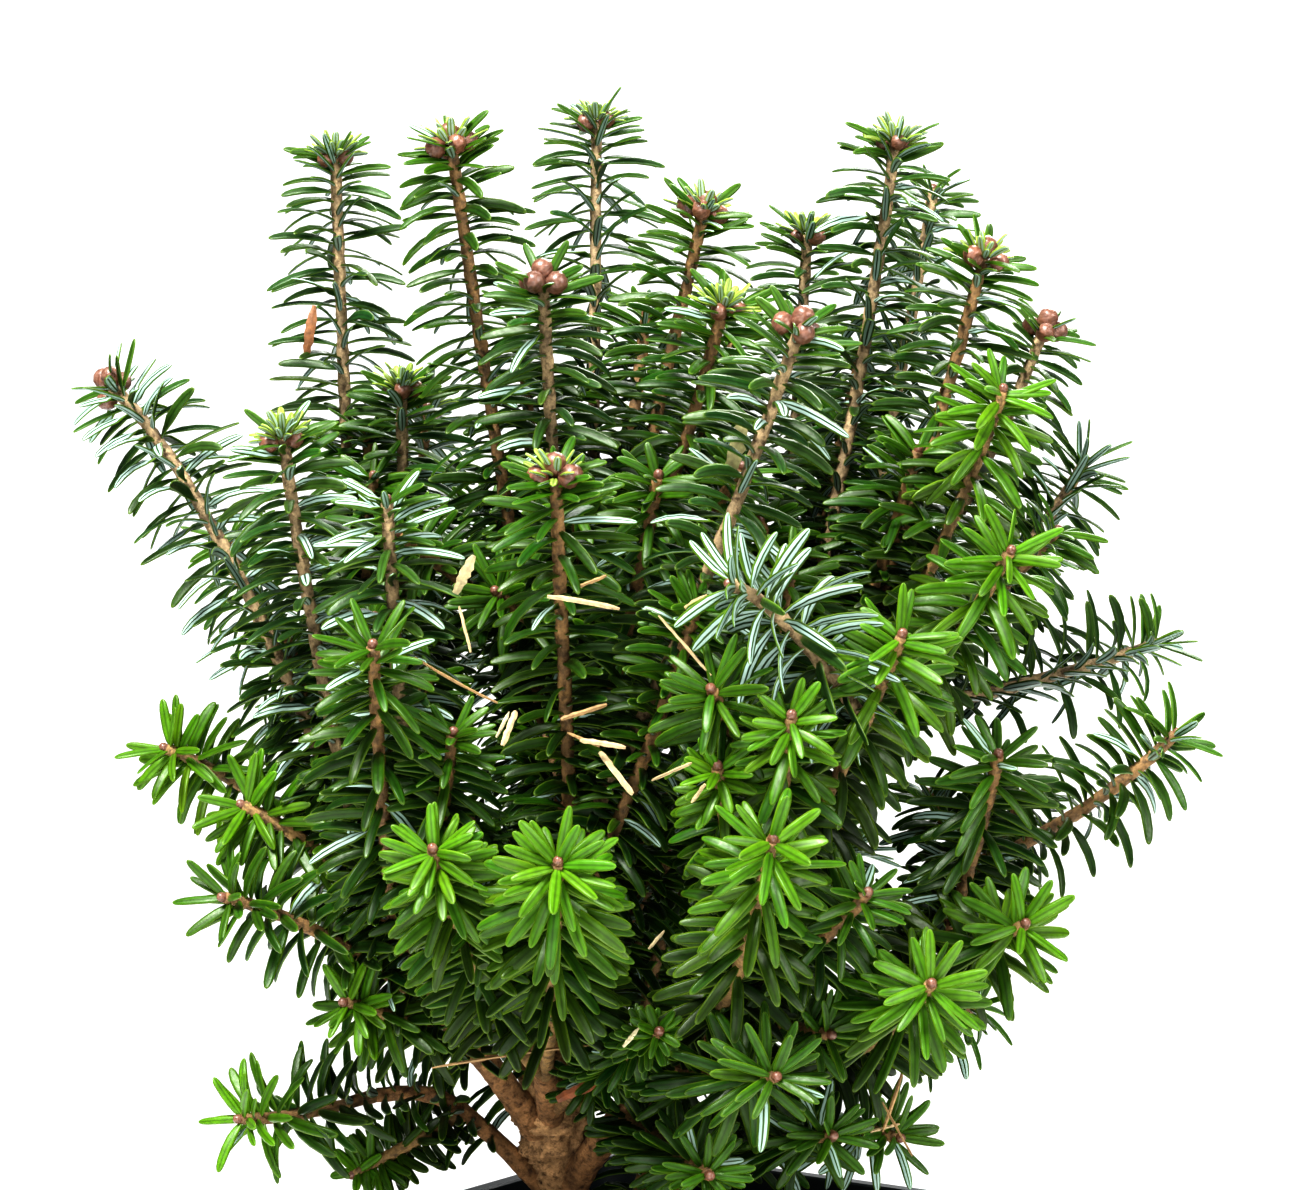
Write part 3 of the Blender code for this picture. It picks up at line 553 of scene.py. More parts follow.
def add_bud(shape, base, along, length, radius, tint, slot, cell, rings=13, sides=20):
    """One ovoid bud with overlapping scales, its lower end at base."""
    along = unit(np.array(along))
    turns = np.arange(sides) / sides
    outwards = spokes(turns * math.tau, *crosswise(along))
    points, colours = [], []
    for ring in range(rings):
        height = ring / (rings - 1)
        body = math.sqrt(max(0.0, 1 - abs(2 * (0.06 + 0.94 * height) - 1) ** 2.3))
        for turn, outward in zip(turns, outwards):
            lift = scales(turn, height)
            reach = radius * max(0.03, body) * (0.90 + 0.13 * lift)
            points.append(base + along * length * height + outward * reach)
            # Each scale is painted darker where it tucks under the one above and lighter where it stands out: painted
            # shade and painted light.
            colours.append(np.array(tint) * (0.62 + 0.62 * lift) + 0.03 * lift)
    shape.add_tubes(np.array(points), rings, sides, np.array(colours), slot, [cell])


# ---- materials ----


def new_material(name):
    """A material, its node tree and its Principled shader."""
    material = bpy.data.materials.new(name)
    material.use_nodes = True
    tree = material.node_tree
    return material, tree, tree.nodes["Principled BSDF"]


def put(tree, socket, value):
    """Gives an input a number or a plain colour, or links another node's output to it."""
    if isinstance(value, bpy.types.NodeSocket):
        tree.links.new(value, socket)
    else:
        socket.default_value = (*value, 1.0) if isinstance(value, tuple) else value


def add_node(tree, kind, output, inputs, **settings):
    """A new shader node with its settings and inputs; returns one of its outputs."""
    node = tree.nodes.new("ShaderNode" + kind)
    for name, value in settings.items():
        setattr(node, name, value)
    for key, value in inputs.items():
        put(tree, node.inputs[key], value)
    return node.outputs[output]


def noise_node(tree, scale, detail, roughness=0.55):
    """A noise texture in the object's own coordinates."""
    return add_node(tree, "TexNoise", "Fac", {"Vector": add_node(tree, "TexCoord", "Object", {}), "Scale": scale,
                                              "Detail": detail, "Roughness": roughness})


def ranged(tree, value, low, high, from_low=0.3, from_high=0.7):
    """A value carried from one range to another."""
    return add_node(tree, "MapRange", "Result", {"Value": value, "From Min": from_low, "From Max": from_high,
                                                 "To Min": low, "To Max": high})


def scaled_colour(tree, colour, value):
    """A colour multiplied by a value."""
    return add_node(tree, "VectorMath", "Vector", {0: colour, "Scale": value}, operation='SCALE')


def mixed_colour(tree, first, second, share):
    """Two colours mixed by a value; each may be a socket or a plain colour."""
    return add_node(tree, "Mix", 2, {0: share, 6: first, 7: second}, data_type='RGBA')


def add_surface(tree, shader, colour, shine, grain, strength, distance):
    """A shader's colour, and its roughness and bump, each from a noise. Shine is (scale, detail, low, high)."""
    scale, detail, low, high = shine
    put(tree, shader.inputs["Base Color"], colour)
    put(tree, shader.inputs["Roughness"], ranged(tree, noise_node(tree, scale, detail), low, high))
    put(tree, shader.inputs["Normal"], add_node(tree, "Bump", "Normal", {
        "Strength": strength, "Distance": distance, "Height": noise_node(tree, *grain)}))


def painted(tree, name="tint"):
    """A colour painted on the mesh."""
    return add_node(tree, "VertexColor", "Color", {}, layer_name=name)


def needle_material(name):
    """Waxy needle skin: a groove above darkened with painted shade, edges paled with a painted highlight, a pale tip,
    and two bluish white bands underneath.
    """
    material, tree, shader = new_material(name)
    parts = tree.nodes.new("ShaderNodeSeparateColor")
    tree.links.new(painted(tree, "blade"), parts.inputs["Color"])
    edge, under, along = parts.outputs
    mottle = ranged(tree, noise_node(tree, 420, 3), 0.80, 1.22)
    green = scaled_colour(tree, painted(tree), mottle)
    # Darker along the middle of the needle: painted shade in its groove.
    green = scaled_colour(tree, green, ranged(tree, edge, 0.52, 1.06, 0.02, 0.28))
    pale = mixed_colour(tree, (0.16, 0.25, 0.018), scaled_colour(tree, green, mottle), 0.5)
    # Paler along the rims: a painted highlight.
    green = mixed_colour(tree, green, pale, ranged(tree, edge, 0.0, 0.95, 0.74, 0.94))
    green = mixed_colour(tree, green, pale, ranged(tree, along, 0.0, 0.6, 0.94, 1.0))
    green = mixed_colour(tree, green, (0.15, 0.17, 0.03), ranged(tree, along, 0.7, 0.0, 0.0, 0.09))
    band = ranged(tree, under, 0.0, 0.82, 0.74, 0.82)
    for low, high in ((0.12, 0.20), (0.70, 0.62)):
        limit = ranged(tree, edge, 0.0, 1.0, low, high)
        band = add_node(tree, "Math", 0, {0: band, 1: limit}, operation='MULTIPLY')
    green = mixed_colour(tree, green, BAND_WHITE, band)
    add_surface(tree, shader, green, (900, 2, 0.30, 0.46), (2600, 3), 0.25, 0.00012)
    shader.inputs["Specular IOR Level"].default_value = 0.30
    shader.inputs["Specular Tint"].default_value = (0.90, 1.0, 0.80, 1.0)
    return material


def bark_material(name, dark, roughness):
    """Bark: the painted colour with darker cracks and fine flaking."""
    material, tree, shader = new_material(name)
    cracks = ranged(tree, noise_node(tree, 520, 6, 0.65), 0.0, 1.0, 0.34, 0.52)
    colour = mixed_colour(tree, dark, painted(tree), cracks)
    flakes = ranged(tree, noise_node(tree, 1500, 4), 0.75, 1.3)
    add_surface(tree, shader, scaled_colour(tree, colour, flakes), (700, 3, roughness - 0.1, roughness + 0.1),
                (900, 6, 0.7), 0.75, 0.0006)
    return material


def bud_material():
    """Resinous bud scales: the painted colour under a thin glossy coat, with a pale bloom."""
    material, tree, shader = new_material("bud_scales")
    bloom = ranged(tree, noise_node(tree, 700, 4), 0.0, 0.27, 0.5, 0.75)
    colour = mixed_colour(tree, painted(tree), (0.42, 0.29, 0.22), bloom)
    add_surface(tree, shader, colour, (500, 3, 0.28, 0.55), (1800, 4), 0.4, 0.0003)
    shader.inputs["Coat Weight"].default_value = 0.25
    shader.inputs["Coat Roughness"].default_value = 0.22
    return material


def pot_material():
    """Black moulded plastic, faintly teal, with a fine grain, scuffs and dust."""
    material, tree, shader = new_material("pot_plastic_black")
    dust = ranged(tree, noise_node(tree, 26, 6, 0.6), 0.0, 0.07, 0.5, 0.78)
    colour = mixed_colour(tree, (0.004, 0.007, 0.008), (0.060, 0.054, 0.044), dust)
    add_surface(tree, shader, colour, (60, 5, 0.34, 0.56), (1400, 3), 0.22, 0.00025)
    shader.inputs["Specular IOR Level"].default_value = 0.20
    return material


def soil_material():
    """Dark moist potting mix."""
    material, tree, shader = new_material("potting_mix")
    grain = ranged(tree, noise_node(tree, 420, 6, 0.7), 0.0, 1.0)
    colour = mixed_colour(tree, (0.012, 0.008, 0.005), (0.085, 0.052, 0.028), grain)
    colour = mixed_colour(tree, colour, painted(tree), 0.5)
    add_surface(tree, shader, colour, (200, 4, 0.78, 0.98), (800, 6, 0.75), 0.9, 0.0012)
    return material


def litter_material():
    """Dry straw and papery flakes, streaked along their fibres."""
    material, tree, shader = new_material("dry_straw")
    streak = ranged(tree, noise_node(tree, 1100, 4), 0.72, 1.15)
    add_surface(tree, shader, scaled_colour(tree, painted(tree), streak), (600, 2, 0.55, 0.8), (1500, 4), 0.4, 0.0003)
    return material


MATERIALS = {
    "needle": needle_material("needle_skin"),
    "twig": bark_material("twig_bark", (0.070, 0.040, 0.016), 0.70),
    "bark": bark_material("trunk_bark", (0.060, 0.030, 0.012), 0.85),
    "bud": bud_material(),
    "pot": pot_material(),
    "soil": soil_material(),
    "litter": litter_material(),
}

TWIG_TINT = {"dark": (0.215, 0.125, 0.048), "blue": (0.300, 0.215, 0.115), "bright": (0.240, 0.150, 0.056)}
BUD_TINT = (0.135, 0.048, 0.022)
BARK_TINT = (0.270, 0.145, 0.060)
TRUNK_TINT = (0.390, 0.235, 0.110)


# ---- the tree ----


def trunk_route():
    """The trunk's line, from its foot in the soil to where the leader starts."""
    above = [crown_point(point) for point in TRUNK_POINTS]
    foot = Vector((above[0].x + 0.005, above[0].y, SOIL_TOP - 0.028))
    return smooth_route([foot] + above, 0.006)


def limb_lines():
    """Each limb's line, starting on the line of what it grows from."""
    lines = {"trunk": trunk_route()}
    for limb in LIMBS:
        start = point_along(lines[limb.parent], limb.at)
        lines[limb.name] = smooth_route([start] + [crown_point(point) for point in limb.points], 0.002)
    return lines


def make_trunk(lines):
    """The trunk, thin at its foot and swelling into a gnarled, wrinkled knot."""
    route = even_points(lines["trunk"], 0.0007)
    knot = crown_point(TRUNK_POINTS[1])
    radii = []
    for place in route:
        nearness = math.exp(-((place.z - knot.z) / 0.012) ** 2)
        fold = 0.08 * math.sin((place.z - knot.z) * math.tau / 0.0062) * nearness
        radii.append((TRUNK_RADIUS + (KNOT_RADIUS - TRUNK_RADIUS) * nearness) * (1 + fold))
    shape = Shape()
    bark_tube(shape, route, radii, 56, 0, TRUNK_TINT, 0.36, (0, 0, 1, 1), (0.5, 0.5, 1.5))
    trunk = shape.build("trunk_bark_piece", [MATERIALS["bark"]])
    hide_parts("trunk")


def make_limb(limb, lines):
    """A limb with rough bark, flaring where it leaves its parent."""
    route = even_points(lines[limb.name], RING_STEP)
    count = len(route) - 1
    radii = []
    for index in range(count + 1):
        share = index / count
        flare = 0.55 * math.exp(-index * RING_STEP / 0.007)
        radius = limb.start_radius + (limb.end_radius - limb.start_radius) * share
        radii.append(radius / 1000 * (1 + flare))
    shape = Shape()
    bark_tube(shape, route, radii, 20, 0, BARK_TINT, 0.17, (0, 0, 1, 1))
    obj = shape.build(limb.name + "_bark_piece", [MATERIALS["bark"]])
    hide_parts(limb.name)


def needle_colours(tone, freshness, rng):
    """Each needle's own green, fresher where it is young."""
    count = len(freshness)
    shade = rng.uniform(0.66, 1.30, count)[:, None]
    warm = rng.normal(0, 0.10, count)[:, None]
    own = np.array(NEEDLE_TINT[tone]) * shade * (1 + warm * np.array((1.6, 0.2, -0.5)))
    fresh = np.clip(freshness, 0, 1)[:, None]
    return np.clip(own * (1 - fresh) + np.array(NEEDLE_TINT["bright"]) * 1.2 * fresh, 0.002, 0.9)


def tip_tuft(shape, tip, along, rng, cells):
    """Short new yellow-green needles round an opening bud."""
    count = len(cells)
    outward = spokes(np.arange(count) * GOLDEN_TURN, *crosswise(along))
    rank = (np.arange(count) + 0.5) / count
    start, normal = leaning(np.radians(18 + 62 * rank) + rng.normal(0, 0.12, count), along, outward)
    roots = tip + outward * (0.0010 + 0.0022 * rank)[:, None] + along * (0.0016 * (1 - rank))[:, None]
    colours = np.array(FRESH_GREEN) * rng.uniform(0.6, 1.15, count)[:, None]
    grow_needles(shape, roots, start, normal, rng.uniform(0.0036, 0.0068, count), np.full(count, 0.0019),
                 rng.uniform(0.02, 0.5, count), rng.normal(0, 0.3, count), colours, cells, 0)


def add_plan(shape, plan, tone, freshness, cells, rng):
    """Adds a whole plan of needles to a shape."""
    roots, start, normal, lengths, curl, twists, near_tip, place = plan
    widths = NEEDLE_WIDTH * (lengths / NEEDLE_LENGTH).clip(0.6, 1.05) ** 0.5 * (1.12 if tone == "bright" else 1.0)
    widths = widths * rng.uniform(0.84, 1.10, len(lengths))
    # Needles are painted darker towards the shoot's base: partly the colour of older needles, partly painted shade of
    # the crown's inside, and on bright shoots mostly painted shade.
    age_and_painted_shade = 0.12 + 0.92 * place ** 3 if tone == "bright" else 0.50 + 0.55 * place
    grow_needles(shape, roots, start, normal, lengths, widths, curl, twists,
                 needle_colours(tone, near_tip * freshness, rng) * age_and_painted_shade[:, None], cells, 0)


def make_shoot(name, node, shoot, lines, rng):
    """One shoot: its twig, its needles and what ends it."""
    lines[node or name] = shoot_line(shoot, lines[shoot.limb])
    route = even_points(lines[node or name], RING_STEP)
    light = light_side(route[-1]) * (-1 if shoot.end == "under" else 1)
    under = UNDERSIDES.get((shoot.limb, shoot.tone), 0.03 * (shoot.tone != "bright"))
    plan = needle_plan(route, rng, light, shoot.size, star=STARS[shoot.tone], under=under, bare=shoot.bare)
    count = len(plan[0])
    shape = Shape()
    tufted = shoot.end == "tuft"
    tuft_count = {"tuft": 30, "buds": 20}.get(shoot.end, 0) if shoot.tone == "dark" or tufted else 0
    cells = cell_grid(count + tuft_count + 4, 0.12)
    freshness = {"fresh": 1.4}.get(shoot.end, 0.6 if shoot.tone == "bright" else 0.3)
    add_plan(shape, plan, shoot.tone, freshness, cells[:count], rng)
    share = np.linspace(0, 1, len(route))
    radii = TWIG_RADIUS + (TWIG_TIP_RADIUS - TWIG_RADIUS) * share
    bark_tube(shape, route, radii, 12, 1, TWIG_TINT[shoot.tone], 0.34, (0, 0, 1, 0.12), (1.0, 1.0, 1.0))
    tip = np.array(route[-1])
    along = unit(np.array(route[-1] - route[-3]))
    if tuft_count:
        tip_tuft(shape, tip, along, rng, cells[count:count + tuft_count])
    if tufted:
        add_buds(shape, tip, along, 3, 0.85, 2, cells[-3:], rng)
    elif shoot.end != "buds" or not node:
        add_bud(shape, tip - along * 0.0006, along, BUD_LENGTH * 0.48, BUD_RADIUS * 0.46, BUD_TINT, 2,
                cells[-1], 11, 14)
    obj = shape.build(name, [MATERIALS["needle"], MATERIALS["twig"], MATERIALS["bud"]])
    if node:
        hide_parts(node)
    return tip, along


def make_coat(limb, lines, rng):
    """The older, shaded needles along the outer part of a limb."""
    line = lines[limb.name]
    route = line[int(COATS[limb.name] * (len(line) - 1)):]
    plan = needle_plan(route, rng, light_side(route[-1]), 0.92, tipped=False)
    shape = Shape()
    add_plan(shape, plan, "dark", 0.0, cell_grid(len(plan[0]), 0.0), rng)
    obj = shape.build(limb.name + "_needle_coat", [MATERIALS["needle"]])


def inner_sprigs(lines):
    """Short dark sprigs spread through the middle of the crown, each from the nearest limb."""
    starts = [(limb.name, index / (len(lines[limb.name]) - 1), point) for limb in LIMBS
              for index, point in enumerate(lines[limb.name]) if index > 0.3 * len(lines[limb.name])]
    sprigs = []
    for number in range(INNER_SPRIGS):
        rank = (number + 0.5) / INNER_SPRIGS
        turn = number * GOLDEN_TURN
        reach = 0.16 + 0.36 * ((number * 0.618) % 1.0) ** 0.5
        height = 0.18 + 0.50 * rank
        depth = 0.06 + reach * math.sin(turn)
        tip = (-0.04 + reach * 1.05 * math.cos(turn), depth, max(height, 0.36) if depth < 0 else height)
        place = crown_point(tip)
        ranked = sorted(starts, key=lambda item: abs((item[2] - place).length - 0.030) + 0.5 * max(
            0.0, item[2].z - place.z))
        name, share, _ = ranked[0]
        sprigs.append(Shoot(name, share, tip, 0.05, "dark", "bud", 0.95))
    return sprigs


def add_buds(shape, tip, along, around, size, slot, cells, rng):
    """Plump resting buds set round a shoot's end, leaning outwards."""
    across, other = crosswise(along)
    begin = rng.uniform(0, math.tau)
    for number, cell in zip(range(around), cells):
        turn = begin + number * math.tau / around + rng.normal(0, 0.15)
        outward = math.cos(turn) * across + math.sin(turn) * other
        lean = unit(along * 0.8 + outward * 0.75)
        scale = rng.uniform(0.80, 1.05) * size
        base = tip + outward * 0.0022 * size - along * (0.0008 + 0.0012 * rng.uniform())
        add_bud(shape, base, lean, BUD_LENGTH * scale, BUD_RADIUS * scale,
                np.array(BUD_TINT) * rng.uniform(0.75, 1.3), slot, cell)


def make_bud_cluster(node, tip, along, rng):
    """A cluster of resting buds: one in the middle, and three or four round it."""
    shape = Shape()
    cells = cell_grid(5, 0.0)
    add_bud(shape, tip + along * 0.0004, along, BUD_LENGTH, BUD_RADIUS, BUD_TINT, 0, cells[0])
    add_buds(shape, tip, along, int(rng.integers(3, 5)), 1.0, 0, cells[1:], rng)
    obj = shape.build(node + "_scaled", [MATERIALS["bud"]])
    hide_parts(node)


# ---- the pot and the soil ----


def rounded_square(width, corner, per_corner):
    """The outline of a square with round corners, anticlockwise, in the XY plane."""
    outline = []
    reach = width / 2 - corner
    for quarter in range(4):
        middle = math.radians(45 + 90 * quarter)
        centre = np.array((math.copysign(reach, math.cos(middle)), math.copysign(reach, math.sin(middle))))
        for step in range(per_corner + 1):
            angle = math.radians(90 * quarter + 90 * step / per_corner)
            outline.append(centre + corner * np.array((math.cos(angle), math.sin(angle))))
    return np.array(outline)


def turned(points):
    """Points of the square pot, turned to its place."""
    cosine, sine = math.cos(POT_TURN), math.sin(POT_TURN)
    result = points.copy()
    result[:, 0] = points[:, 0] * cosine - points[:, 1] * sine
    result[:, 1] = points[:, 0] * sine + points[:, 1] * cosine
    return result


def wall_width_at(height):
    """The pot wall's outer width at a height below the collar."""
    return POT_BASE_WIDTH + height / (POT_HEIGHT - COLLAR_HEIGHT) * (NECK_WIDTH - POT_BASE_WIDTH)


def pot_profile():
    """The wall's outline as (width, height) pairs: up the outside, over the lip and down the inside."""
    collar = POT_HEIGHT - COLLAR_HEIGHT
    belly = NECK_WIDTH + 2 * COLLAR_STEP
    step = COLLAR_STEP * 0.4
    outside = [(POT_BASE_WIDTH - 0.003, 0.0), (POT_BASE_WIDTH - 0.0012, 0.0004), (POT_BASE_WIDTH, 0.0016)]
    outside += [(wall_width_at(height), height) for height in (0.03, 0.06, 0.09, 0.12, collar - 0.0006)]
    outside += [(belly - 0.0010, collar + step * 0.7), (belly, collar + step + 0.0006)]
    lip = POT_HEIGHT - POT_WALL
    outside += [(belly, lip - 0.0010), (belly + 0.0008, lip - 0.0002)]
    outside += [(POT_WIDTH - 0.0008, lip), (POT_WIDTH, lip + 0.0005), (POT_WIDTH, POT_HEIGHT - 0.0005),
                (POT_WIDTH - 0.0008, POT_HEIGHT)]
    wall = 2 * POT_WALL
    inside = [(belly - wall + 0.0014, POT_HEIGHT), (belly - wall + 0.0003, POT_HEIGHT - 0.0005),
              (belly - wall, POT_HEIGHT - 0.0014), (belly - wall, collar + step + 0.0002),
              (NECK_WIDTH - wall, collar - 0.0004)]
    inside += [(wall_width_at(height) - wall, height) for height in (0.12, 0.09, 0.06, 0.03)]
    inside += [(wall_width_at(0.004) - wall, 0.0032), (wall_width_at(0.004) - wall - 0.003, POT_WALL)]
    return outside + inside


def make_pot():
    """The pot as one smooth shell, with its drain holes cut through the base."""
    body = bmesh.new()
    rings = []
    for width, height in pot_profile():
        corner = max(0.003, POT_CORNER - (POT_WIDTH - width) * 0.06)
        outline = turned(rounded_square(width, corner, 10))
        rings.append([body.verts.new((x, y, height)) for x, y in outline])
    for first, second in zip(rings, rings[1:]):
        for index in range(len(first)):
            beside = (index + 1) % len(first)
            body.faces.new((first[index], first[beside], second[beside], second[index]))
    body.faces.new(reversed(rings[0]))
    body.faces.new(rings[-1])
    mesh = bpy.data.meshes.new("nursery_pot")
    body.to_mesh(mesh)
    body.free()
    pot = placed("nursery_pot", mesh)
    cutters = []
    for number in range(4):
        turn = number * math.tau / 4 + POT_TURN
        bpy.ops.mesh.primitive_cylinder_add(vertices=40, radius=DRAIN_DIAMETER / 2, depth=POT_WALL * 6,
                                            location=(DRAIN_RADIUS * math.cos(turn),
                                                      DRAIN_RADIUS * math.sin(turn), 0))
        cutter = bpy.context.object
        cutters.append(cutter)
        cut = pot.modifiers.new("drain", 'BOOLEAN')
        cut.operation = 'DIFFERENCE'
        cut.solver = 'EXACT'
        cut.object = cutter
    bpy.context.view_layer.update()
    depsgraph = bpy.context.evaluated_depsgraph_get()
    finished = bpy.data.meshes.new_from_object(pot.evaluated_get(depsgraph))
    pot.modifiers.clear()
    pot.data = finished
    for cutter in cutters:
        bpy.data.objects.remove(cutter)
    finished.shade_smooth()
    finished.set_sharp_from_angle(angle=math.radians(38))
    finished.materials.clear()
    finished.materials.append(MATERIALS["pot"])
    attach(pot, BODY)
    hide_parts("pot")


SOIL_RINGS = 46
SOIL_TINT = (0.05, 0.032, 0.018)


def soil_height(x, y, edge):
    """The soil's height at a place: a low mound with lumps and hollows."""
    reach = min(1.0, max(abs(x), abs(y)) / edge)
    lumps = 0.0016 * fbm((x, y, 0.3), 70) + 0.0009 * fbm((x, y, 0.7), 260)
    return SOIL_TOP + SOIL_CROWN * 0.9 * (1 - reach ** 1.5) + lumps - 0.0012 * reach


def make_soil(rng):
    """The soil: a lumpy top on a plain block that fills the pot."""
    gap = 2 * (POT_WALL + 0.0003)
    edge = (wall_width_at(SOIL_TOP) - gap) / 2
    bottom, top = (rounded_square(width, POT_CORNER * 0.9, 14) for width in (wall_width_at(0.002) - gap, 2 * edge))
    rings = [np.column_stack([bottom, np.full(len(bottom), POT_WALL + 0.0004)])]
    for index in range(SOIL_RINGS):
        ring = top * (1 - index / SOIL_RINGS)
        rings.append(np.column_stack([ring, [soil_height(x, y, edge) for x, y in ring]]))
    shape = Shape()
    shape.add_tubes(turned(np.concatenate(rings)), len(rings), len(top), SOIL_TINT, 0, [(0, 0, 1, 1)])
    soil = shape.build("soil_mix", [MATERIALS["soil"]])
    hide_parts("soil")
    scatter_crumbs(edge, rng)


def crumb(rng, size):
    """The points of one small angular lump."""
    points = []
    for index in range(12):
        height = -1 + 2 * (index + 0.5) / 12
        turn = index * GOLDEN_TURN
        flat = math.sqrt(1 - height * height)
        points.append((flat * math.cos(turn), flat * math.sin(turn), height))
    points = np.array(points) * rng.uniform(0.55, 1.25, (12, 1)) * (size / 2)
    return points * rng.uniform(0.6, 1.3, 3)


def scatter_crumbs(edge, rng):
    """Crumbs of bark and peat and white grains of perlite, lying on the soil."""
    for name, count, low, high, colours in (
            ("soil_crumbs", 900, 0.0008, 0.0036, ((0.020, 0.012, 0.007), (0.10, 0.058, 0.028))),
            ("perlite_grains", 60, 0.0010, 0.0026, ((0.55, 0.53, 0.48), (0.78, 0.76, 0.70)))):
        body = bmesh.new()
        tints = []
        for _ in range(count):
            x, y = rng.uniform(-0.95, 0.95, 2) * edge
            if math.hypot(max(0, abs(x) - edge * 0.75), max(0, abs(y) - edge * 0.75)) > edge * 0.2:
                continue
            size = low + (high - low) * rng.uniform() ** 2.2
            points = crumb(rng, size) + np.array((x, y, soil_height(x, y, edge) + size * 0.15))
            lump = bmesh.new()
            for point in turned(points):
                lump.verts.new(point)
            bmesh.ops.convex_hull(lump, input=lump.verts)
            bmesh.ops.delete(lump, geom=[v for v in lump.verts if not v.link_faces], context='VERTS')
            piece = bpy.data.meshes.new("lump")
            lump.to_mesh(piece)
            lump.free()
            before = len(body.verts)
            body.from_mesh(piece)
            share = rng.uniform()
            tint = np.array(colours[0]) * (1 - share) + np.array(colours[1]) * share
            tints += [tint] * (len(body.verts) - before)
            bpy.data.meshes.remove(piece)
        mesh = bpy.data.meshes.new(name)
        body.to_mesh(mesh)
        body.free()
        paint(mesh, "tint", np.array(tints))
        obj = placed(name, mesh)
        mesh.materials.append(MATERIALS["soil"] if name == "soil_crumbs" else MATERIALS["litter"])
        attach(obj, BODY)


# ---- straw and flakes caught in the crown ----

# Both ends as crown points, width in millimetres, how far it bows upwards, and colour.
Straw = namedtuple("Straw", "start end width bow tint")
PALE_STRAW, TAN_STRAW = (0.44, 0.33, 0.18), (0.32, 0.20, 0.085)
STRAW = [Straw(*row) for row in (
    ((-0.29, -0.62, 0.56), (-0.27, -0.66, 0.525), 0.9, 0.0, PALE_STRAW),
    ((-0.15, -0.73, 0.57), (-0.04, -0.71, 0.56), 1.5, 0.04, PALE_STRAW),
    ((-0.11, -0.67, 0.575), (-0.06, -0.69, 0.585), 1.1, 0.0, TAN_STRAW),
    ((-0.13, -0.71, 0.475), (-0.06, -0.67, 0.485), 1.5, 0.02, TAN_STRAW),
    ((-0.22, -0.71, 0.455), (-0.20, -0.67, 0.48), 1.8, 0.0, PALE_STRAW),
    ((-0.36, -0.61, 0.52), (-0.23, -0.63, 0.485), 0.9, -0.06, TAN_STRAW),
    ((-0.10, -0.73, 0.46), (-0.03, -0.75, 0.455), 1.6, 0.02, PALE_STRAW),
    ((0.02, -0.71, 0.555), (0.10, -0.75, 0.51), 0.9, 0.0, PALE_STRAW),
    ((0.01, -0.75, 0.43), (0.07, -0.79, 0.445), 1.0, 0.03, PALE_STRAW),
    ((0.07, -0.79, 0.415), (0.09, -0.81, 0.43), 1.1, 0.0, PALE_STRAW),
    ((-0.07, -0.71, 0.45), (-0.02, -0.76, 0.42), 1.9, 0.0, PALE_STRAW),
    ((-0.12, -0.71, 0.465), (-0.07, -0.73, 0.455), 0.9, 0.0, TAN_STRAW),
    ((-0.34, -0.52, 0.19), (-0.09, -0.42, 0.20), 0.9, 0.07, TAN_STRAW),
    ((0.39, -0.32, 0.12), (0.43, -0.28, 0.175), 1.1, 0.10, TAN_STRAW),
    ((0.39, -0.32, 0.145), (0.44, -0.32, 0.10), 0.8, 0.0, TAN_STRAW),
    ((0.37, -0.32, 0.12), (0.42, -0.30, 0.125), 0.9, 0.05, PALE_STRAW),
    ((-0.62, -0.12, 0.41), (-0.55, -0.12, 0.425), 0.9, 0.0, TAN_STRAW),
    ((0.16, 0.00, 0.02), (0.27, 0.06, 0.01), 1.1, 0.04, TAN_STRAW),
    ((0.30, 0.06, 0.015), (0.40, 0.00, 0.02), 1.0, 0.03, PALE_STRAW),
    ((0.02, -0.30, -0.02), (0.12, -0.22, -0.03), 1.0, 0.02, TAN_STRAW),
    ((-0.30, 0.10, -0.03), (-0.22, 0.18, -0.03), 1.1, 0.02, TAN_STRAW),
)]
FLAKES = [Straw(*row) for row in (
    ((-0.295, -0.63, 0.57), (-0.265, -0.65, 0.60), 3.6, 0.08, (0.36, 0.30, 0.16)),
    ((0.135, -0.47, 0.665), (0.155, -0.48, 0.705), 5.6, 0.05, (0.44, 0.40, 0.19)),
    ((-0.605, 0.24, 0.765), (-0.59, 0.24, 0.81), 3.8, 0.10, (0.21, 0.088, 0.030)),
    ((-0.06, -0.76, 0.445), (-0.02, -0.78, 0.42), 1.6, 0.06, (0.36, 0.29, 0.16)),
    ((-0.145, -0.36, 0.15), (-0.06, -0.36, 0.17), 4.0, 0.10, (0.20, 0.062, 0.016)),
    ((-0.035, -0.62, 0.215), (-0.01, -0.62, 0.23), 1.5, 0.05, (0.52, 0.46, 0.28)),
    ((-0.23, -0.68, 0.46), (-0.21, -0.68, 0.48), 1.3, 0.05, (0.50, 0.42, 0.25)),
    ((0.06, -0.68, 0.56), (0.095, -0.68, 0.57), 1.7, 0.05, (0.34, 0.24, 0.11)),
    ((0.005, -0.52, 0.285), (0.03, -0.52, 0.30), 1.3, 0.05, (0.36, 0.29, 0.16)),
)]


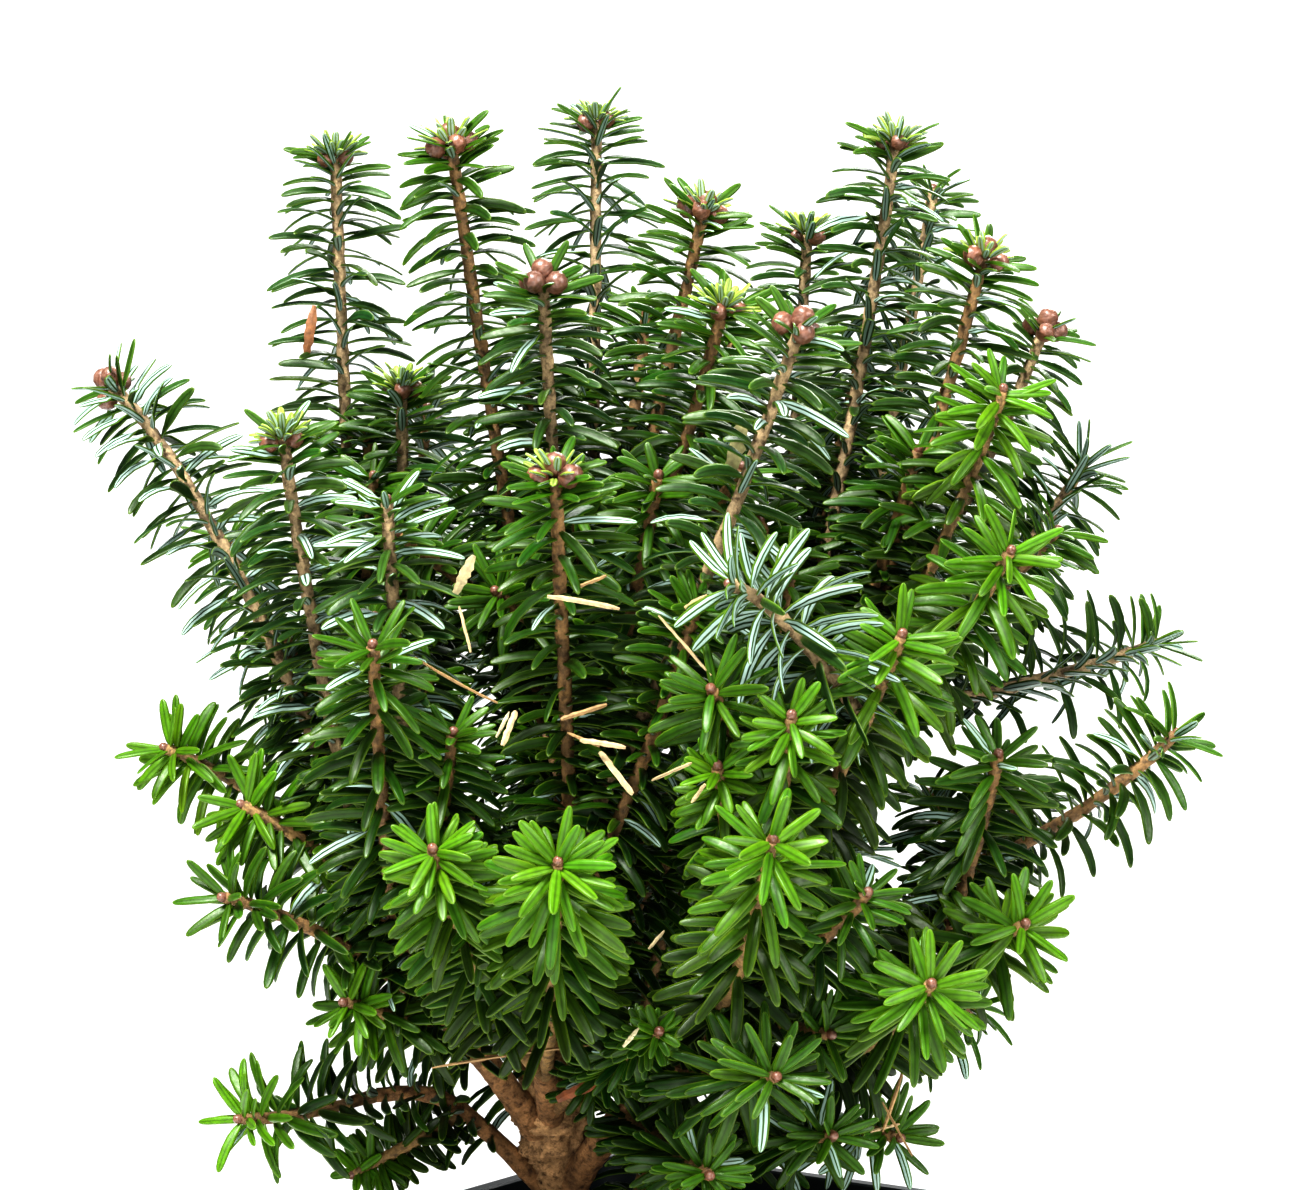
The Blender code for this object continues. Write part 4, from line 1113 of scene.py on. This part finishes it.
def add_strip(shape, straw, thickness, pointed, rng, cell):
    """A thin dry strip with a creased middle and uneven edges; a pointed one narrows to its end."""
    start, end = np.array(crown_point(straw.start)), np.array(crown_point(straw.end))
    length = np.linalg.norm(end - start)
    along = (end - start) / length
    side = unit(np.cross(along, np.array((0.15, -1.0, 0.35))))
    up = np.cross(side, along)
    rows, shades = [], []
    stations = np.linspace(0, 1, 12)
    for share in stations:
        broken = (0.35 + share) * (1.04 - share) ** 0.6 * 1.5 if pointed else 1 - 0.4 * abs(2 * share - 1) ** 7
        centre = start + along * length * share + up * straw.bow * length * 4 * share * (1 - share)
        for across, lift in ((-0.5, 0.0), (0.0, 0.8), (0.5, 0.0), (0.0, -0.3)):
            wide = across * straw.width / 1000 * 0.8 * broken * rng.uniform(0.72, 1.10)
            rows.append(centre + side * wide + up * lift * thickness)
            shades.append(np.array(straw.tint) * rng.uniform(0.72, 1.12))
    shape.add_tubes(np.array(rows), len(stations), 4, np.array(shades), 0, [cell])


def make_litter(rng):
    """Straw and papery flakes, each group one piece."""
    for name, group, thickness in (("caught_straw", STRAW, 0.0004), ("papery_flakes", FLAKES, 0.0002)):
        shape = Shape()
        for straw, cell in zip(group, cell_grid(len(group), 0.0)):
            add_strip(shape, straw, thickness, group is FLAKES, rng, cell)
        obj = shape.build(name, [MATERIALS["litter"]], smooth=False)


# ---- the stage ----

# Each lamp's name, place, size in metres and power in watts, and the point that all of them face.
LAMPS = (("key", (-0.5, -0.8, 1.6), 0.6, 72.0), ("fill", (1.2, -0.9, 0.9), 0.8, 22.0),
         ("back", (0.4, 1.3, 1.4), 0.9, 30.0), ("low", (-0.2, -1.3, 0.12), 0.7, 7.0))
LAMP_AIM = Vector((0, 0, 0.26))
FLOOR_RADIUS = 0.68
CAMERA_PLACE = (CROWN_SHIFT, -0.800, 0.3345)
CAMERA_DOWN = 2.45
CAMERA_LENS = 96.0


def make_stage():
    """A wide pale floor, a white surround and soft studio lights."""
    bpy.ops.mesh.primitive_circle_add(vertices=128, radius=FLOOR_RADIUS, fill_type='NGON', location=(0, 0, -0.0002))
    floor = bpy.context.object
    floor.name = "studio_floor"
    material, tree, shader = new_material("studio_white")
    put(tree, shader.inputs["Base Color"], FLOOR_WHITE)
    put(tree, shader.inputs["Roughness"], 0.9)
    put(tree, shader.inputs["Specular IOR Level"], 0.1)
    floor.data.materials.append(material)
    world = bpy.data.worlds.new("studio")
    world.use_nodes = True
    tree = world.node_tree
    seen, ambient = (add_node(tree, "Background", "Background", {"Color": colour, "Strength": strength})
                     for colour, strength in (((1.0, 1.0, 1.0), 1.0), ((0.95, 1.0, 1.0), 0.26)))
    to_camera = add_node(tree, "LightPath", "Is Camera Ray", {})
    choice = add_node(tree, "MixShader", "Shader", {"Fac": to_camera, 1: ambient, 2: seen})
    put(tree, tree.nodes["World Output"].inputs["Surface"], choice)
    bpy.context.scene.world = world
    for name, place, size, power in LAMPS:
        lamp = bpy.data.lights.new(name, 'AREA')
        lamp.size = size
        lamp.energy = power
        light = placed(name, lamp)
        light.location = place
        light.rotation_euler = (LAMP_AIM - Vector(place)).to_track_quat('-Z', 'Y').to_euler()
    bpy.context.scene.view_settings.view_transform = 'Standard'
    bpy.context.scene.view_settings.look = 'High Contrast'


def make_camera():
    """A long lens in front of the plant: almost level, a little above the crown's middle."""
    camera = bpy.data.cameras.new("camera")
    camera.lens = CAMERA_LENS
    camera.sensor_width = 36.0
    camera.sensor_fit = 'HORIZONTAL'
    camera.clip_start = 0.01
    eye = placed("camera", camera)
    eye.location = CAMERA_PLACE
    eye.rotation_euler = (math.radians(90 - CAMERA_DOWN), 0, 0)
    bpy.context.scene.camera = eye


# ---- the whole plant ----


def main():
    """Builds every piece in order."""
    make_stage()
    make_camera()
    rng = np.random.default_rng(20)
    lines = limb_lines()
    make_trunk(lines)
    for limb in LIMBS:
        make_limb(limb, lines)
    counts = {}
    for shoot in SHOOTS:
        counts[shoot.limb] = counts.get(shoot.limb, 0) + 1
        node = f"{shoot.limb}_shoot_{counts[shoot.limb]}"
        tip, along = make_shoot(node + "_needled", node, shoot, lines, rng)
        if shoot.end == "buds":
            make_bud_cluster(node + "_buds", tip, along, rng)
    for number, shoot in enumerate(SIDE_SHOOTS, 1):
        make_shoot(f"side_shoot_{number}", None, shoot, lines, rng)
    for number, sprig in enumerate(inner_sprigs(lines), 1):
        make_shoot(f"inner_sprig_{number}", None, sprig, lines, rng)
    for limb in LIMBS:
        make_coat(limb, lines, rng)
    make_pot()
    make_soil(rng)
    make_litter(rng)


main()
